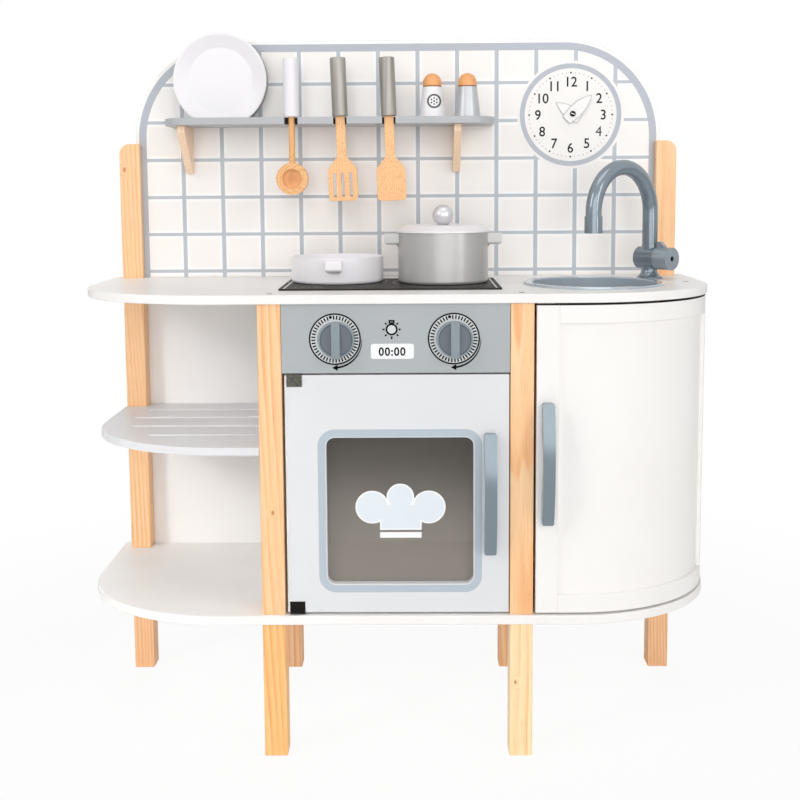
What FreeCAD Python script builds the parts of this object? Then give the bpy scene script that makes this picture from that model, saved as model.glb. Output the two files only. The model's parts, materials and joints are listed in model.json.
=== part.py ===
import FreeCAD, Part
import math
import os

# A free-standing wooden play kitchen.  Two boards with rounded front corners
# stand on six square legs and are held apart by four square posts.  Between
# them are an open bay with a slotted shelf, an oven with a windowed door and
# a cupboard with a curved door.  On the top board are a hob, a sink and a
# tap; behind it stands a tall splashback with a clock and a narrow shelf.
#
# Millimetres, +Z up, the fronts face -Y.  The origin is on the floor, under
# the middle of the whole kitchen, handles included.

V = FreeCAD.Vector

# ---------------------------------------------------------------- clearances
rest_gap = 0.3            # under a loose piece that stands on something
pivot_clearance = 0.05    # radial, a pin in its bush
hole_clearance = 0.5      # radial, a bowl or a lid rim in its opening

# ------------------------------------------------------------- overall frame
bay_width = 232.0         # from a front post's outer face to the end of the boards
board_depth = 280.5
board_thickness = 11.0
front_straight = 425.0    # straight stretch of the boards' front edge
corner_depth = 150.0      # rounded board corner, along Y
leg_height = 164.5
storey_height = 371.1     # clear height between the two boards
post_size = 27.5

rear_post_inset = 13.8    # from the ends of the boards
rear_post_rise = 183.1    # above the top board
post_top_radius = 14.0
front_post_spread = 321.0
front_post_set_back = 4.0
inner_leg_spread = 335.0

# ---------------------------------------------------------------- back panels
panel_thickness = 5.0
splashback_groove = 6.8      # depth of its grooves in the rear posts
splashback_height = 320.4
splashback_radius = 131.0
splashback_set_back = 12.0   # behind the front faces of the rear posts

# --------------------------------------------------------------- middle shelf
middle_shelf_z = 378.2       # its upper face
middle_shelf_thickness = 9.8
middle_shelf_end_inset = 11.5
middle_shelf_front_inset = 3.0
middle_slot_width = 8.0
middle_slot_pitch = 52.6
middle_slot_first = 22.0     # centre of the rearmost slot, from the rear posts' front
middle_slot_insets = (34.0, 26.0, 38.0, 72.0)   # from the end of the shelf, rear slot first
middle_slot_end_gap = 11.5   # from the front post to the other end of the slots

# ----------------------------------------------------------------------- oven
side_thickness = 9.0
front_thickness = 12.0       # control panel and oven door
oven_set_back = 1.0          # behind the faces of the front posts
control_panel_height = 81.3
door_gap_top = 1.8
door_gap_bottom = 2.6
door_gap_left = 2.7
door_gap_right = 1.2
door_edge_radius = 3.0

window_width = 172.3
window_height = 176.0
window_radius = 10.0
window_x = 4.0
window_z = 301.0
pane_thickness = 2.0
pane_lap = 6.0
pane_clearance = 0.2

# ------------------------------------------------------------ pivots, catches
pin_radius = 2.0
pin_depth = 6.0
pin_end_play = 1.0
bush_wall = 1.6
oven_pivot_inset = 6.3       # from the hinged edge of the oven door
plate_length = 21.0
plate_height = 13.6
plate_thickness = 1.2
strike_thickness = 1.2
catch_gap = 0.3
magnet_width = 20.0
magnet_height = 16.0
magnet_depth = 12.0

# -------------------------------------------------------------------- handles
handle_length = 144.0
handle_width = 14.0
handle_reach = 21.0          # from the door to the crown of the bow
handle_end_height = 9.5
handle_foot = 33.0
handle_section = 8.5         # thickness at the crown
handle_round = 2.5
oven_handle_x = 109.6
oven_handle_z = 322.6
cupboard_handle_z = 358.7

# ---------------------------------------------------------------------- knobs
knob_spread = 137.0
knob_drop = 41.4             # below the top edge of the control panel
knob_radius = 21.0
knob_base = 6.5
knob_grip_width = 11.5
knob_grip_height = 11.5
knob_round = 1.2
spindle_radius = 4.0

# -------------------------------------------------------------- cupboard door
door_inset = 2.0             # behind the edge of the boards
door_frame_thickness = 14.0
door_panel_set_back = 5.0
door_panel_thickness = 3.0
door_panel_tongue = 4.0
stile_width = 26.0
rail_height = 21.5
right_stile_angle = 9.0      # span of the right stile on the corner curve
hinge_angle = 8.0            # place of the hinge line on the corner curve
cupboard_gap_left = 2.7
jamb_gap = 1.3

# ----------------------------------------------------------------------- sink
sink_from_post = 86.5        # from the front post's outer face
sink_from_splashback = 137.0
sink_rim_radius = 87.0
sink_rim_height = 2.8
sink_rim_width = 10.5
sink_depth = 45.0
sink_wall = 2.5
sink_rim_round = 1.4
bowl_round = 11.0
drain_radius = 11.0
drain_depth = 1.2

# ------------------------------------------------------------------------ tap
tap_reach = 113.2
tap_heading = 220.3          # direction of the spout, degrees from +X
tap_flange_radius = 17.0
tap_flange_height = 2.5
tap_neck_radius = 10.5
tap_neck_flare = 1.6
tap_neck_rise = 4.0          # where the flare is measured, above the flange
tap_flare_height = 13.7
barrel_height = 27.4         # barrel axis above the top board
barrel_radius = 14.7
barrel_rear = 16.0
barrel_front = 13.7
lever_length = 22.3
lever_fin_height = 7.0
lever_fin_length = 11.0
lever_fin_width = 6.0
tap_screw_head = 1.0
tap_screw_length = 11.0
pipe_radius = 10.0
pipe_straight = 43.0         # leg of the pipe above the barrel's collar
collar_top = 18.3            # above the barrel axis
nozzle_radius = 11.3
nozzle_length = 21.3
nozzle_top_drop = 4.4        # below the ends of the pipe's half circle
stub_radius = 7.0
stub_length = 9.0
pipe_bore = 7.5
pipe_bore_depth = 3.0

# ------------------------------------------------------------------------ hob
hob_width = 268.0
hob_depth = 152.0
hob_thickness = 2.0
hob_x = -7.0
hob_from_splashback = 60.0
hob_radius = 3.0

# ------------------------------------------------------------------ cookware
pan_x = -76.6
pan_from_splashback = 106.0
pan_radius = 59.0
pan_height = 32.5
pan_wall = 3.5
pot_x = 59.0
pot_from_splashback = 123.0
pot_radius = 57.0
pot_height = 63.5
pot_wall = 3.0
ear_reach = 17.0
ear_width = 20.0
ear_height = 14.0
ear_round = 4.0
ear_blend = 4.0              # hollow curve between the ear and the wall
ear_corner = 7.0
ear_drop = 1.5
base_round = 4.0
lid_radius = 59.0
lid_edge = 2.6
lid_height = 8.6
lid_top_radius = 48.0
lid_locating_depth = 3.0
lid_knob_radius = 13.2
lid_knob_sink = 1.2
lid_pin_radius = 3.0
lid_pin_length = 4.0

# --------------------------------------------------------------- narrow shelf
shelf_from_edge = 50.3       # from the left edge of the splashback
shelf_length = 437.4
shelf_depth = 75.0
shelf_thickness = 9.4
shelf_top_above_board = 214.1
shelf_corner = 34.0
notch_first = 170.7          # from the left end of the shelf
notch_pitch = 63.6
notch_width = 17.0
notch_depth = 17.0
bracket_places = (23.9, 388.2)   # from the left end of the shelf
bracket_thickness = 10.0
bracket_height = 62.0
bracket_reach = 60.0
bracket_tip = 9.0

# --------------------------------------------------------------------- plates
plate_place = 72.2           # from the left end of the shelf
plate_radius = 62.25
plate_sink = 10.35           # how far a plate stands down into its slot
plate_dish_depth = 7.5
plate_flat_radius = 43.0
plate_skin = 2.5
plate_slot_width = 8.0
plate_slots_from_wall = (31.0, 14.0)

# ------------------------------------------------------------------- utensils
grip_radius = 10.25
grip_length = 75.8
grip_round = 1.5
tang_depth = 20.0
ladle_rod_radius = 4.15
ladle_radius = 20.75
ladle_thickness = 12.0
ladle_hollow_radius = 12.7
ladle_hollow_depth = 7.5
ladle_centre_drop = 80.0     # below the top of the narrow shelf
turner_neck = 12.5
turner_thickness = 5.5
turner_width = 38.2
turner_height = 57.5
turner_shoulder = 16.0
turner_round = 6.0
turner_bottom_drop = 109.5
turner_slot_width = 3.9
turner_slot_height = 31.0
turner_slot_pitch = 10.6
turner_lean = 1.9            # degrees, the foot of the blade to the right

# -------------------------------------------------------------------- shakers
shaker_places = (355.2, 401.7)   # from the left end of the shelf
shaker_from_wall = 40.0
shaker_base_radius = 17.5
shaker_top_radius = 12.5
shaker_height = 39.5
cap_radius = 12.3
cap_height = 18.0

# ---------------------------------------------------------------------- clock
clock_from_edge = 119.0      # from the right edge of the splashback
clock_drop = 100.4           # below its top edge
hand_thickness = 1.0
hand_gap = 0.5
hand_width = 17.2
hand_tail = 12.2             # from the pin to the square-cut end
hand_tail_width = 13.6
hand_bulge = 0.07            # how far an edge curves out, as a share of its length
clock_pin_radius = 1.2
clock_pin_head = 3.9
minute_length = 36.0
minute_shoulder = 12.0       # from the pin to where the hand starts to taper
minute_angle = 45.6          # clockwise from the top
hour_length = 27.3
hour_shoulder = 4.0
hour_angle = -55.8

# --------------------------------------------------------------------- screws
screw_radius = 1.8
screw_head_radius = 3.4
screw_head_depth = 2.0
screw_length = 32.0
upper_bracket_screw = 18.0
lower_bracket_screw = 12.0
side_screw_inset = 74.0      # from the boards to a screw in the oven sides
upper_bracket_screw_drop = 18.6
lower_bracket_screw_drop = 43.4

# ------------------------------------------------------- faces used all over
overall_depth = board_depth + handle_reach - door_inset
rear_y = overall_depth / 2
front_y = rear_y - board_depth
floor_top = leg_height + board_thickness          # upper face, lower board
ceiling = floor_top + storey_height               # lower face, top board
worktop_z = ceiling + board_thickness
board_width = front_post_spread + 2 * bay_width
half_board = board_width / 2
corner_length = (board_width - front_straight) / 2

rear_post_front = rear_y - post_size
rear_post_outer = half_board - rear_post_inset
rear_post_inner = rear_post_outer - post_size
splashback_edge = rear_post_inner + splashback_groove
front_post_outer = front_post_spread / 2
front_post_inner = front_post_outer - post_size
front_post_front = front_y + front_post_set_back
front_post_rear = front_post_front + post_size
wall_y = rear_post_front + splashback_set_back    # front face, splashback
back_panel_y = rear_y - panel_thickness           # front face, back panel
side_centre = front_post_outer - post_size / 2    # centre of an oven side
side_outer = side_centre + side_thickness / 2

oven_front = front_post_front + oven_set_back
oven_rear = oven_front + front_thickness
panel_bottom = ceiling - control_panel_height
door_top = panel_bottom - door_gap_top
door_bottom = floor_top + door_gap_bottom
door_left = -front_post_inner + door_gap_left
door_right = front_post_inner - door_gap_right

shelf_top = worktop_z + shelf_top_above_board
shelf_bottom = shelf_top - shelf_thickness
shelf_left = shelf_from_edge - splashback_edge
shelf_right = shelf_left + shelf_length
bracket_xs = [shelf_left + place for place in bracket_places]
shaker_xs = [shelf_left + place for place in shaker_places]
plate_x = shelf_left + plate_place
clock_x = splashback_edge - clock_from_edge
clock_z = worktop_z + splashback_height - clock_drop


# ------------------------------------------------------------------- helpers
def box(x0, x1, y0, y1, z0, z1):
    return Part.makeBox(x1 - x0, y1 - y0, z1 - z0, V(x0, y0, z0))


def rod(radius, start, end):
    run = end - start
    return Part.makeCylinder(radius, run.Length, start, run)


def wire(start, *steps):
    """Join lines and arcs: a step is a point, or a (middle, end) pair of an arc."""
    edges = []
    here = start
    for step in steps:
        if isinstance(step, tuple):
            middle, end = step
            edges.append(Part.Arc(here, middle, end).toShape())
        else:
            end = step
            edges.append(Part.LineSegment(here, end).toShape())
        here = end
    return Part.Wire(edges)


def slab(outline, run):
    return Part.Face(outline).extrude(run)


def turned(outline, centre=V(0, 0, 0), axis=V(0, 0, 1)):
    return Part.Face(outline).revolve(centre, axis, 360)


def edges_along(shape, axis):
    """The straight edges of a shape that run along an axis."""
    chosen = []
    for edge in shape.Edges:
        if isinstance(edge.Curve, Part.Line):
            way = edge.tangentAt(edge.FirstParameter)
            if way.cross(axis).Length < 1e-6:
                chosen.append(edge)
    return chosen


def rounded_box(x0, x1, y0, y1, z0, z1, radius, axis):
    block = box(x0, x1, y0, y1, z0, z1)
    return block.makeFillet(radius, edges_along(block, axis))


def corner_arc(inset, first, last, z, left=False):
    """Quarter-ellipse of a board corner, or part of it.  An angle of 0 is the
    end of the board and 90 degrees is its front edge."""
    long_radius = corner_length - inset
    short_radius = corner_depth - inset
    centre_x = half_board - corner_length
    centre = V(-centre_x if left else centre_x, front_y + corner_depth, z)
    ellipse = Part.Ellipse(centre, long_radius, short_radius)
    if left:
        return Part.ArcOfEllipse(ellipse, math.radians(180 + first), math.radians(180 + last)).toShape()
    return Part.ArcOfEllipse(ellipse, math.radians(-last), math.radians(-first)).toShape()


def corner_point(inset, angle, z):
    """A point of the right-hand corner curve."""
    turn = math.radians(angle)
    centre_x = half_board - corner_length
    x = centre_x + (corner_length - inset) * math.cos(turn)
    y = front_y + corner_depth - (corner_depth - inset) * math.sin(turn)
    return V(x, y, z)


def line(start, end):
    return Part.LineSegment(start, end).toShape()


def arc_ends(edge):
    return edge.valueAt(edge.FirstParameter), edge.valueAt(edge.LastParameter)


# --------------------------------------------------------------- main boards
def board(z0):
    """A board with two rounded front corners."""
    left = corner_arc(0, 0, 90, z0, left=True)
    right = corner_arc(0, 0, 90, z0)
    left_end, left_front = arc_ends(left)
    right_front, right_end = arc_ends(right)
    rear_left = V(-half_board, rear_y, z0)
    rear_right = V(half_board, rear_y, z0)
    outline = Part.Wire([line(rear_left, left_end), left, line(left_front, right_front), right,
                         line(right_end, rear_right), line(rear_right, rear_left)])
    return slab(outline, V(0, 0, board_thickness))


def rear_post(side):
    """A post from the lower board past the top board, its outer top corner rounded."""
    outer = side * rear_post_outer
    inner = side * rear_post_inner
    top = worktop_z + rear_post_rise
    shoulder = outer - side * post_top_radius
    bend = post_top_radius * math.sqrt(0.5)
    outline = wire(V(inner, rear_post_front, floor_top), V(outer, rear_post_front, floor_top),
                   V(outer, rear_post_front, top - post_top_radius),
                   (V(shoulder + side * bend, rear_post_front, top - post_top_radius + bend),
                    V(shoulder, rear_post_front, top)),
                   V(inner, rear_post_front, top), V(inner, rear_post_front, floor_top))
    return slab(outline, V(0, post_size, 0))


def leg(x_outer, y_front, side):
    inner = x_outer - side * post_size
    return box(min(x_outer, inner), max(x_outer, inner), y_front, y_front + post_size, 0, leg_height)


def middle_shelf():
    """Shelf of the open bay, with a rounded front corner and four long slots."""
    z0 = middle_shelf_z - middle_shelf_thickness
    end_x = -half_board + middle_shelf_end_inset
    front = front_y + middle_shelf_front_inset
    inset = middle_shelf_front_inset
    long_radius = corner_length - inset
    short_radius = corner_depth - inset
    ellipse = Part.Ellipse(V(end_x + long_radius, front + short_radius, z0), long_radius, short_radius)
    arc = Part.ArcOfEllipse(ellipse, math.pi, 1.5 * math.pi).toShape()
    arc_end, arc_front = arc_ends(arc)
    corners = [arc_front, V(-front_post_outer, front, z0), V(-front_post_outer, front_post_rear, z0),
               V(-side_outer, front_post_rear, z0), V(-side_outer, back_panel_y, z0),
               V(-rear_post_inner, back_panel_y, z0), V(-rear_post_inner, rear_post_front, z0),
               V(end_x, rear_post_front, z0), arc_end]
    outline = Part.Wire([arc] + [line(a, b) for a, b in zip(corners, corners[1:])])
    shelf = slab(outline, V(0, 0, middle_shelf_thickness))
    half = middle_slot_width / 2
    right = -front_post_outer - middle_slot_end_gap - half
    for index, slot_inset in enumerate(middle_slot_insets):
        y = rear_post_front - middle_slot_first - index * middle_slot_pitch
        left = end_x + slot_inset + half
        slot = box(left, right, y - half, y + half, z0, middle_shelf_z)
        for x in (left, right):
            slot = slot.fuse(rod(half, V(x, y, z0), V(x, y, middle_shelf_z)))
        shelf = shelf.cut(slot)
    return shelf


def splashback():
    """Tall back panel with two rounded top corners."""
    half = splashback_edge
    top = worktop_z + splashback_height
    shoulder = half - splashback_radius
    bend = splashback_radius * math.sqrt(0.5)
    arc_z = top - splashback_radius
    outline = wire(V(-half, wall_y, worktop_z), V(half, wall_y, worktop_z), V(half, wall_y, arc_z),
                   (V(shoulder + bend, wall_y, arc_z + bend), V(shoulder, wall_y, top)),
                   V(-shoulder, wall_y, top),
                   (V(-shoulder - bend, wall_y, arc_z + bend), V(-half, wall_y, arc_z)),
                   V(-half, wall_y, worktop_z))
    return slab(outline, V(0, panel_thickness, 0))


# ------------------------------------------------------------------ oven door
def oven_door():
    door = box(door_left, door_right, oven_front, oven_rear, door_bottom, door_top)
    hinged = [edge for edge in edges_along(door, V(0, 0, 1)) if edge.CenterOfMass.x < door_left + 1]
    door = door.makeFillet(door_edge_radius, hinged)
    half_w = window_width / 2
    half_h = window_height / 2
    opening = rounded_box(window_x - half_w, window_x + half_w, oven_front, oven_rear,
                          window_z - half_h, window_z + half_h, window_radius, V(0, 1, 0))
    lap = pane_lap + pane_clearance
    rebate = rounded_box(window_x - half_w - lap, window_x + half_w + lap, oven_rear - pane_thickness,
                         oven_rear, window_z - half_h - lap, window_z + half_h + lap,
                         window_radius, V(0, 1, 0))
    return door.cut(opening).cut(rebate)


def oven_window():
    half_w = window_width / 2 + pane_lap
    half_h = window_height / 2 + pane_lap
    return rounded_box(window_x - half_w, window_x + half_w, oven_rear - pane_thickness, oven_rear,
                       window_z - half_h, window_z + half_h, window_radius, V(0, 1, 0))


def bow_handle(x, y, z):
    """Bow handle: two flat feet on the door and an arched bar between them."""
    half = handle_length / 2
    underside = handle_reach - handle_section
    x0 = x - handle_width / 2
    outline = wire(V(x0, y, z - half), V(x0, y - handle_end_height, z - half),
                   (V(x0, y - handle_reach, z), V(x0, y - handle_end_height, z + half)),
                   V(x0, y, z + half), V(x0, y, z + half - handle_foot),
                   (V(x0, y - underside, z), V(x0, y, z - half + handle_foot)),
                   V(x0, y, z - half))
    bar = slab(outline, V(handle_width, 0, 0))
    ends = [edge for edge in edges_along(bar, V(0, 1, 0)) if abs(edge.CenterOfMass.z - z) > half - 1]
    return bar.makeFillet(handle_round, ends)


oven_pivot = V(door_left + oven_pivot_inset, (oven_front + oven_rear) / 2, 0)


def oven_pivot_leaf(edge_z, side):
    """Bent plate on a corner of the oven door, with its pivot pin.  side is 1
    for the top edge of the door and -1 for the bottom edge."""
    lip = edge_z + side * plate_thickness
    face = box(door_left + door_edge_radius, door_left + plate_length, oven_front - plate_thickness,
               oven_front, min(lip, edge_z - side * plate_height), max(lip, edge_z - side * plate_height))
    flange = box(door_left + door_edge_radius, door_left + plate_length, oven_front, oven_rear,
                 min(edge_z, lip), max(edge_z, lip))
    gap = door_gap_top if side > 0 else door_gap_bottom
    tip = edge_z + side * (gap + pin_depth)
    pin = rod(pin_radius, V(oven_pivot.x, oven_pivot.y, lip), V(oven_pivot.x, oven_pivot.y, tip))
    return face.fuse([flange, pin])


def bush(centre, seat_z, side):
    """Bush for a pivot pin, let into the wood above (1) or below (-1) a face."""
    seat = V(centre.x, centre.y, seat_z)
    depth = V(0, 0, side * (pin_depth + pin_end_play))
    sleeve = rod(pin_radius + pivot_clearance + bush_wall, seat, seat + depth)
    return sleeve.cut(rod(pin_radius + pivot_clearance, seat, seat + depth))


def bush_hole(centre, seat_z, side):
    seat = V(centre.x, centre.y, seat_z)
    depth = V(0, 0, side * (pin_depth + pin_end_play))
    return rod(pin_radius + pivot_clearance + bush_wall, seat, seat + depth)


# -------------------------------------------------------------- control panel
def knob(x, z):
    """Round knob with a raised grip across it and a spindle through the panel."""
    back = oven_front - rest_gap
    face = back - knob_base
    base = rod(knob_radius, V(x, back, z), V(x, face, z))
    rim = [edge for edge in base.Edges if abs(edge.CenterOfMass.y - face) < 1e-6]
    base = base.makeChamfer(knob_round, rim)
    grip_half = knob_radius - knob_round
    grip = rounded_box(x - knob_grip_width / 2, x + knob_grip_width / 2, face - knob_grip_height, face,
                       z - grip_half, z + grip_half, knob_round, V(0, 1, 0))
    grip = grip.common(rod(grip_half, V(x, face - knob_grip_height, z), V(x, face, z)))
    spindle = rod(spindle_radius, V(x, back, z), V(x, oven_rear, z))
    return base.fuse([grip, spindle]).removeSplitter()


# -------------------------------------------------------------- cupboard door
cupboard_left = front_post_outer + cupboard_gap_left
cupboard_bottom = floor_top + door_gap_bottom
cupboard_top = ceiling - door_gap_bottom
middle_inset = door_inset + door_frame_thickness / 2
hinge_point = corner_point(middle_inset, hinge_angle, 0)
stile_edge_angle = hinge_angle + right_stile_angle


def curved_strip(outer, inner, left_x, right_angle, z0, z1):
    """Strip between two insets of the board edge, from a straight left end at
    left_x, along the front and round the corner to right_angle."""
    outer_arc = corner_arc(outer, right_angle, 90, z0)
    inner_arc = corner_arc(inner, right_angle, 90, z0)
    outer_front, outer_end = arc_ends(outer_arc)
    inner_front, inner_end = arc_ends(inner_arc)
    outer_left = V(left_x, outer_front.y, z0)
    inner_left = V(left_x, inner_front.y, z0)
    outline = Part.Wire([line(outer_left, outer_front), outer_arc, line(outer_end, inner_end),
                         inner_arc, line(inner_front, inner_left), line(inner_left, outer_left)])
    return slab(outline, V(0, 0, z1 - z0))


def right_stile(z0, z1):
    """Last stretch of the door frame, with a half-round edge about the hinge line."""
    outer = door_inset
    inner = door_inset + door_frame_thickness
    outer_arc = corner_arc(outer, hinge_angle, stile_edge_angle, z0)
    inner_arc = corner_arc(inner, hinge_angle, stile_edge_angle, z0)
    outer_start, outer_end = arc_ends(outer_arc)
    inner_start, inner_end = arc_ends(inner_arc)
    turn = math.radians(hinge_angle)
    tip = hinge_point + V(math.sin(turn), math.cos(turn), 0) * (door_frame_thickness / 2) + V(0, 0, z0)
    nose = Part.Arc(outer_end, tip, inner_end).toShape()
    outline = Part.Wire([outer_arc, nose, inner_arc, line(inner_start, outer_start)])
    return slab(outline, V(0, 0, z1 - z0))


def cupboard_panel():
    """Thin curved board that fills the door frame, its edges in grooves."""
    outer = door_inset + door_panel_set_back
    tongue_angle = math.degrees(door_panel_tongue / corner_depth)
    return curved_strip(outer, outer + door_panel_thickness,
                        cupboard_left + stile_width - door_panel_tongue,
                        stile_edge_angle - tongue_angle,
                        cupboard_bottom + rail_height - door_panel_tongue,
                        cupboard_top - rail_height + door_panel_tongue)


def cupboard_pivot(edge_z, side):
    """Pin in the end of the right stile, with a washer that carries the door."""
    axis = V(hinge_point.x, hinge_point.y, 0)
    seat = axis + V(0, 0, edge_z)
    washer = rod(pin_radius + bush_wall, seat, seat + V(0, 0, side * plate_thickness))
    inner_end = seat - V(0, 0, side * pin_depth)
    pin = rod(pin_radius, inner_end, seat + V(0, 0, side * (door_gap_bottom + pin_depth)))
    return washer.fuse(pin)


# ------------------------------------------------------------------- magnets
def magnet(x, rear_face, ceiling_z, strike_face):
    """Magnet block that hangs under ceiling_z behind a door's strike plate."""
    return box(x - magnet_width / 2, x + magnet_width / 2, strike_face + catch_gap,
               rear_face, ceiling_z - magnet_height, ceiling_z)


# ------------------------------------------------------------------------ hob
def hob_plate():
    rear = wall_y - hob_from_splashback
    return rounded_box(hob_x - hob_width / 2, hob_x + hob_width / 2, rear - hob_depth, rear,
                       worktop_z, worktop_z + hob_thickness, hob_radius, V(0, 0, 1))


# ----------------------------------------------------------------------- sink
sink_centre = V(front_post_outer + sink_from_post, wall_y - sink_from_splashback, worktop_z)
bowl_radius = sink_rim_radius - sink_rim_width
sink_hole_radius = bowl_radius + sink_wall + hole_clearance


def sink_bowl():
    """Round bowl with a rolled rim and a shallow drain."""
    outside = bowl_radius + sink_wall
    bend = bowl_round
    crown = sink_rim_height
    soft = sink_rim_round
    outline = wire(V(0, 0, -sink_depth), V(outside - bend, 0, -sink_depth), V(outside, 0, bend - sink_depth),
                   V(outside, 0, 0), V(sink_rim_radius, 0, 0), V(sink_rim_radius, 0, crown - soft),
                   V(sink_rim_radius - soft, 0, crown), V(bowl_radius + soft, 0, crown),
                   V(bowl_radius, 0, crown - soft), V(bowl_radius, 0, bend - sink_depth),
                   V(bowl_radius - bend, 0, sink_wall - sink_depth), V(0, 0, sink_wall - sink_depth),
                   V(0, 0, -sink_depth))
    bowl = turned(outline)
    floor_z = sink_wall - sink_depth
    bowl = bowl.cut(rod(drain_radius, V(0, 0, floor_z - drain_depth), V(0, 0, floor_z)))
    bowl.translate(sink_centre)
    return bowl


# ------------------------------------------------------------------------ tap
def heading(degrees_from_x):
    turn = math.radians(degrees_from_x)
    return V(math.cos(turn), math.sin(turn), 0)


spout_way = heading(tap_heading)
barrel_way = heading(tap_heading + 90)
tap_foot = sink_centre - spout_way * tap_reach
barrel_centre = tap_foot + V(0, 0, barrel_height)
collar_point = barrel_centre + V(0, 0, collar_top)
pipe_foot = collar_point + V(0, 0, rest_gap)


def barrel():
    """Fixed barrel of the tap, with the collar that the pipe turns in."""
    front_end = barrel_centre + barrel_way * barrel_front
    body = rod(barrel_radius, barrel_centre - barrel_way * barrel_rear, front_end)
    body = body.fuse(rod(pipe_radius, barrel_centre, collar_point))
    stub_foot = collar_point - V(0, 0, stub_length + rest_gap)
    stub_hole = rod(stub_radius + pivot_clearance, stub_foot, collar_point)
    lever_hole = rod(spindle_radius + pivot_clearance, barrel_centre, front_end)
    return body.cut(stub_hole).cut(lever_hole)


def tap_base():
    """Flared foot on the top board, shaped to the barrel that it carries."""
    crown = V(tap_neck_radius, 0, barrel_height)
    shoulder = V(tap_flange_radius, 0, tap_flange_height)
    hollow = V(tap_neck_radius + tap_neck_flare, 0, tap_flange_height + tap_neck_rise)
    outline = wire(V(0, 0, 0), V(tap_flange_radius, 0, 0), shoulder,
                   (hollow, V(tap_neck_radius, 0, tap_flare_height)), crown, V(0, 0, barrel_height),
                   V(0, 0, 0))
    foot = turned(outline)
    foot.translate(tap_foot)
    solid_barrel = rod(barrel_radius, barrel_centre - barrel_way * barrel_rear,
                       barrel_centre + barrel_way * barrel_front)
    return foot.cut(solid_barrel)


def tap_spout():
    """Swan-neck pipe: a straight leg, a half circle and a wider nozzle."""
    bend_radius = tap_reach / 2
    bend_start = pipe_foot + V(0, 0, pipe_straight)
    bend_centre = bend_start + spout_way * bend_radius
    bend_end = bend_start + spout_way * tap_reach
    nozzle_top = bend_end - V(0, 0, nozzle_top_drop)
    outlet = nozzle_top - V(0, 0, nozzle_length)
    crown = bend_centre + V(0, 0, bend_radius)
    path = wire(pipe_foot, bend_start, (crown, bend_end), nozzle_top)
    section = Part.Wire([Part.makeCircle(pipe_radius, pipe_foot, V(0, 0, 1))])
    pipe = path.makePipeShell([section], True, True)
    nozzle = rod(nozzle_radius, nozzle_top, outlet)
    nozzle = nozzle.cut(rod(pipe_bore, outlet, outlet + V(0, 0, pipe_bore_depth)))
    stub = rod(stub_radius, pipe_foot - V(0, 0, stub_length), pipe_foot)
    return pipe.fuse([nozzle, stub]).removeSplitter()


def tap_lever():
    """Turning end of the barrel, with a small fin on top and a screw recess."""
    inner = barrel_centre + barrel_way * (barrel_front + rest_gap)
    outer = inner + barrel_way * lever_length
    body = rod(barrel_radius, inner, outer)
    spindle = rod(spindle_radius, inner, inner - barrel_way * (barrel_front - pivot_clearance))
    fin = box(0, lever_fin_length, -lever_fin_width / 2, lever_fin_width / 2,
              barrel_radius / 2, barrel_radius + lever_fin_height)
    far_top = [edge for edge in edges_along(fin, V(0, 1, 0))
               if edge.CenterOfMass.z > barrel_radius and edge.CenterOfMass.x > lever_fin_length / 2]
    fin = fin.makeChamfer(lever_fin_height - knob_round, far_top)
    fin.rotate(V(0, 0, 0), V(0, 0, 1), tap_heading + 90)
    fin.translate(inner)
    recess = rod(screw_head_radius, outer - barrel_way * screw_head_depth, outer)
    thread = rod(screw_radius, outer - barrel_way * tap_screw_length, outer)
    return body.fuse([spindle, fin]).cut(recess).cut(thread)


def tap_screw():
    outer = barrel_centre + barrel_way * (barrel_front + rest_gap + lever_length)
    seat = outer - barrel_way * screw_head_depth
    head = rod(screw_head_radius, seat, seat + barrel_way * tap_screw_head)
    return head.fuse(rod(screw_radius, outer - barrel_way * tap_screw_length, seat))


# ------------------------------------------------------------------- cookware
def ear(radius, height, wall):
    """Handle block under the rim, with a hollow curve below it down to the wall."""
    top = height - ear_drop
    bottom = top - ear_height
    foot = bottom - ear_blend
    outer = radius + ear_reach
    inner = radius - wall
    side = -ear_width / 2
    bend = 1 - math.sqrt(0.5)
    profile = wire(V(inner, side, top), V(outer, side, top), V(outer, side, bottom + ear_round),
                   (V(outer - ear_round * bend, side, bottom + ear_round * bend),
                    V(outer - ear_round, side, bottom)),
                   V(radius + ear_blend, side, bottom),
                   (V(radius + ear_blend * bend, side, bottom - ear_blend * bend), V(radius, side, foot)),
                   V(inner, side, foot), V(inner, side, top))
    block = slab(profile, V(0, ear_width, 0))
    front = box(inner, outer, side, -side, foot, top)
    low_edges = [edge for edge in edges_along(front, V(1, 0, 0)) if edge.CenterOfMass.z < top - 1]
    return block.common(front.makeFillet(ear_corner, low_edges))


def vessel(radius, height, wall, ear_angles):
    """Round pot with a flat base and an ear at each of the given angles."""
    body = Part.makeCylinder(radius, height)
    foot = [edge for edge in body.Edges if abs(edge.CenterOfMass.z) < 1e-6]
    body = body.makeFillet(base_round, foot)
    for angle in ear_angles:
        handle = ear(radius, height, wall)
        handle.rotate(V(0, 0, 0), V(0, 0, 1), angle)
        body = body.fuse(handle)
    hollow = Part.makeCylinder(radius - wall, height, V(0, 0, wall))
    return body.cut(hollow).removeSplitter()


def pot_lid():
    """Lid with a bevelled edge and a ring that locates it in the pot."""
    inside = pot_radius - pot_wall - hole_clearance
    outline = wire(V(0, 0, 0), V(inside - pot_wall, 0, 0), V(inside - pot_wall, 0, -lid_locating_depth),
                   V(inside, 0, -lid_locating_depth), V(inside, 0, 0), V(lid_radius, 0, 0),
                   V(lid_radius, 0, lid_edge), V(lid_top_radius, 0, lid_height), V(0, 0, lid_height),
                   V(0, 0, 0))
    lid = turned(outline)
    return lid.cut(rod(lid_pin_radius, V(0, 0, lid_height - lid_pin_length), V(0, 0, lid_height)))


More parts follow.
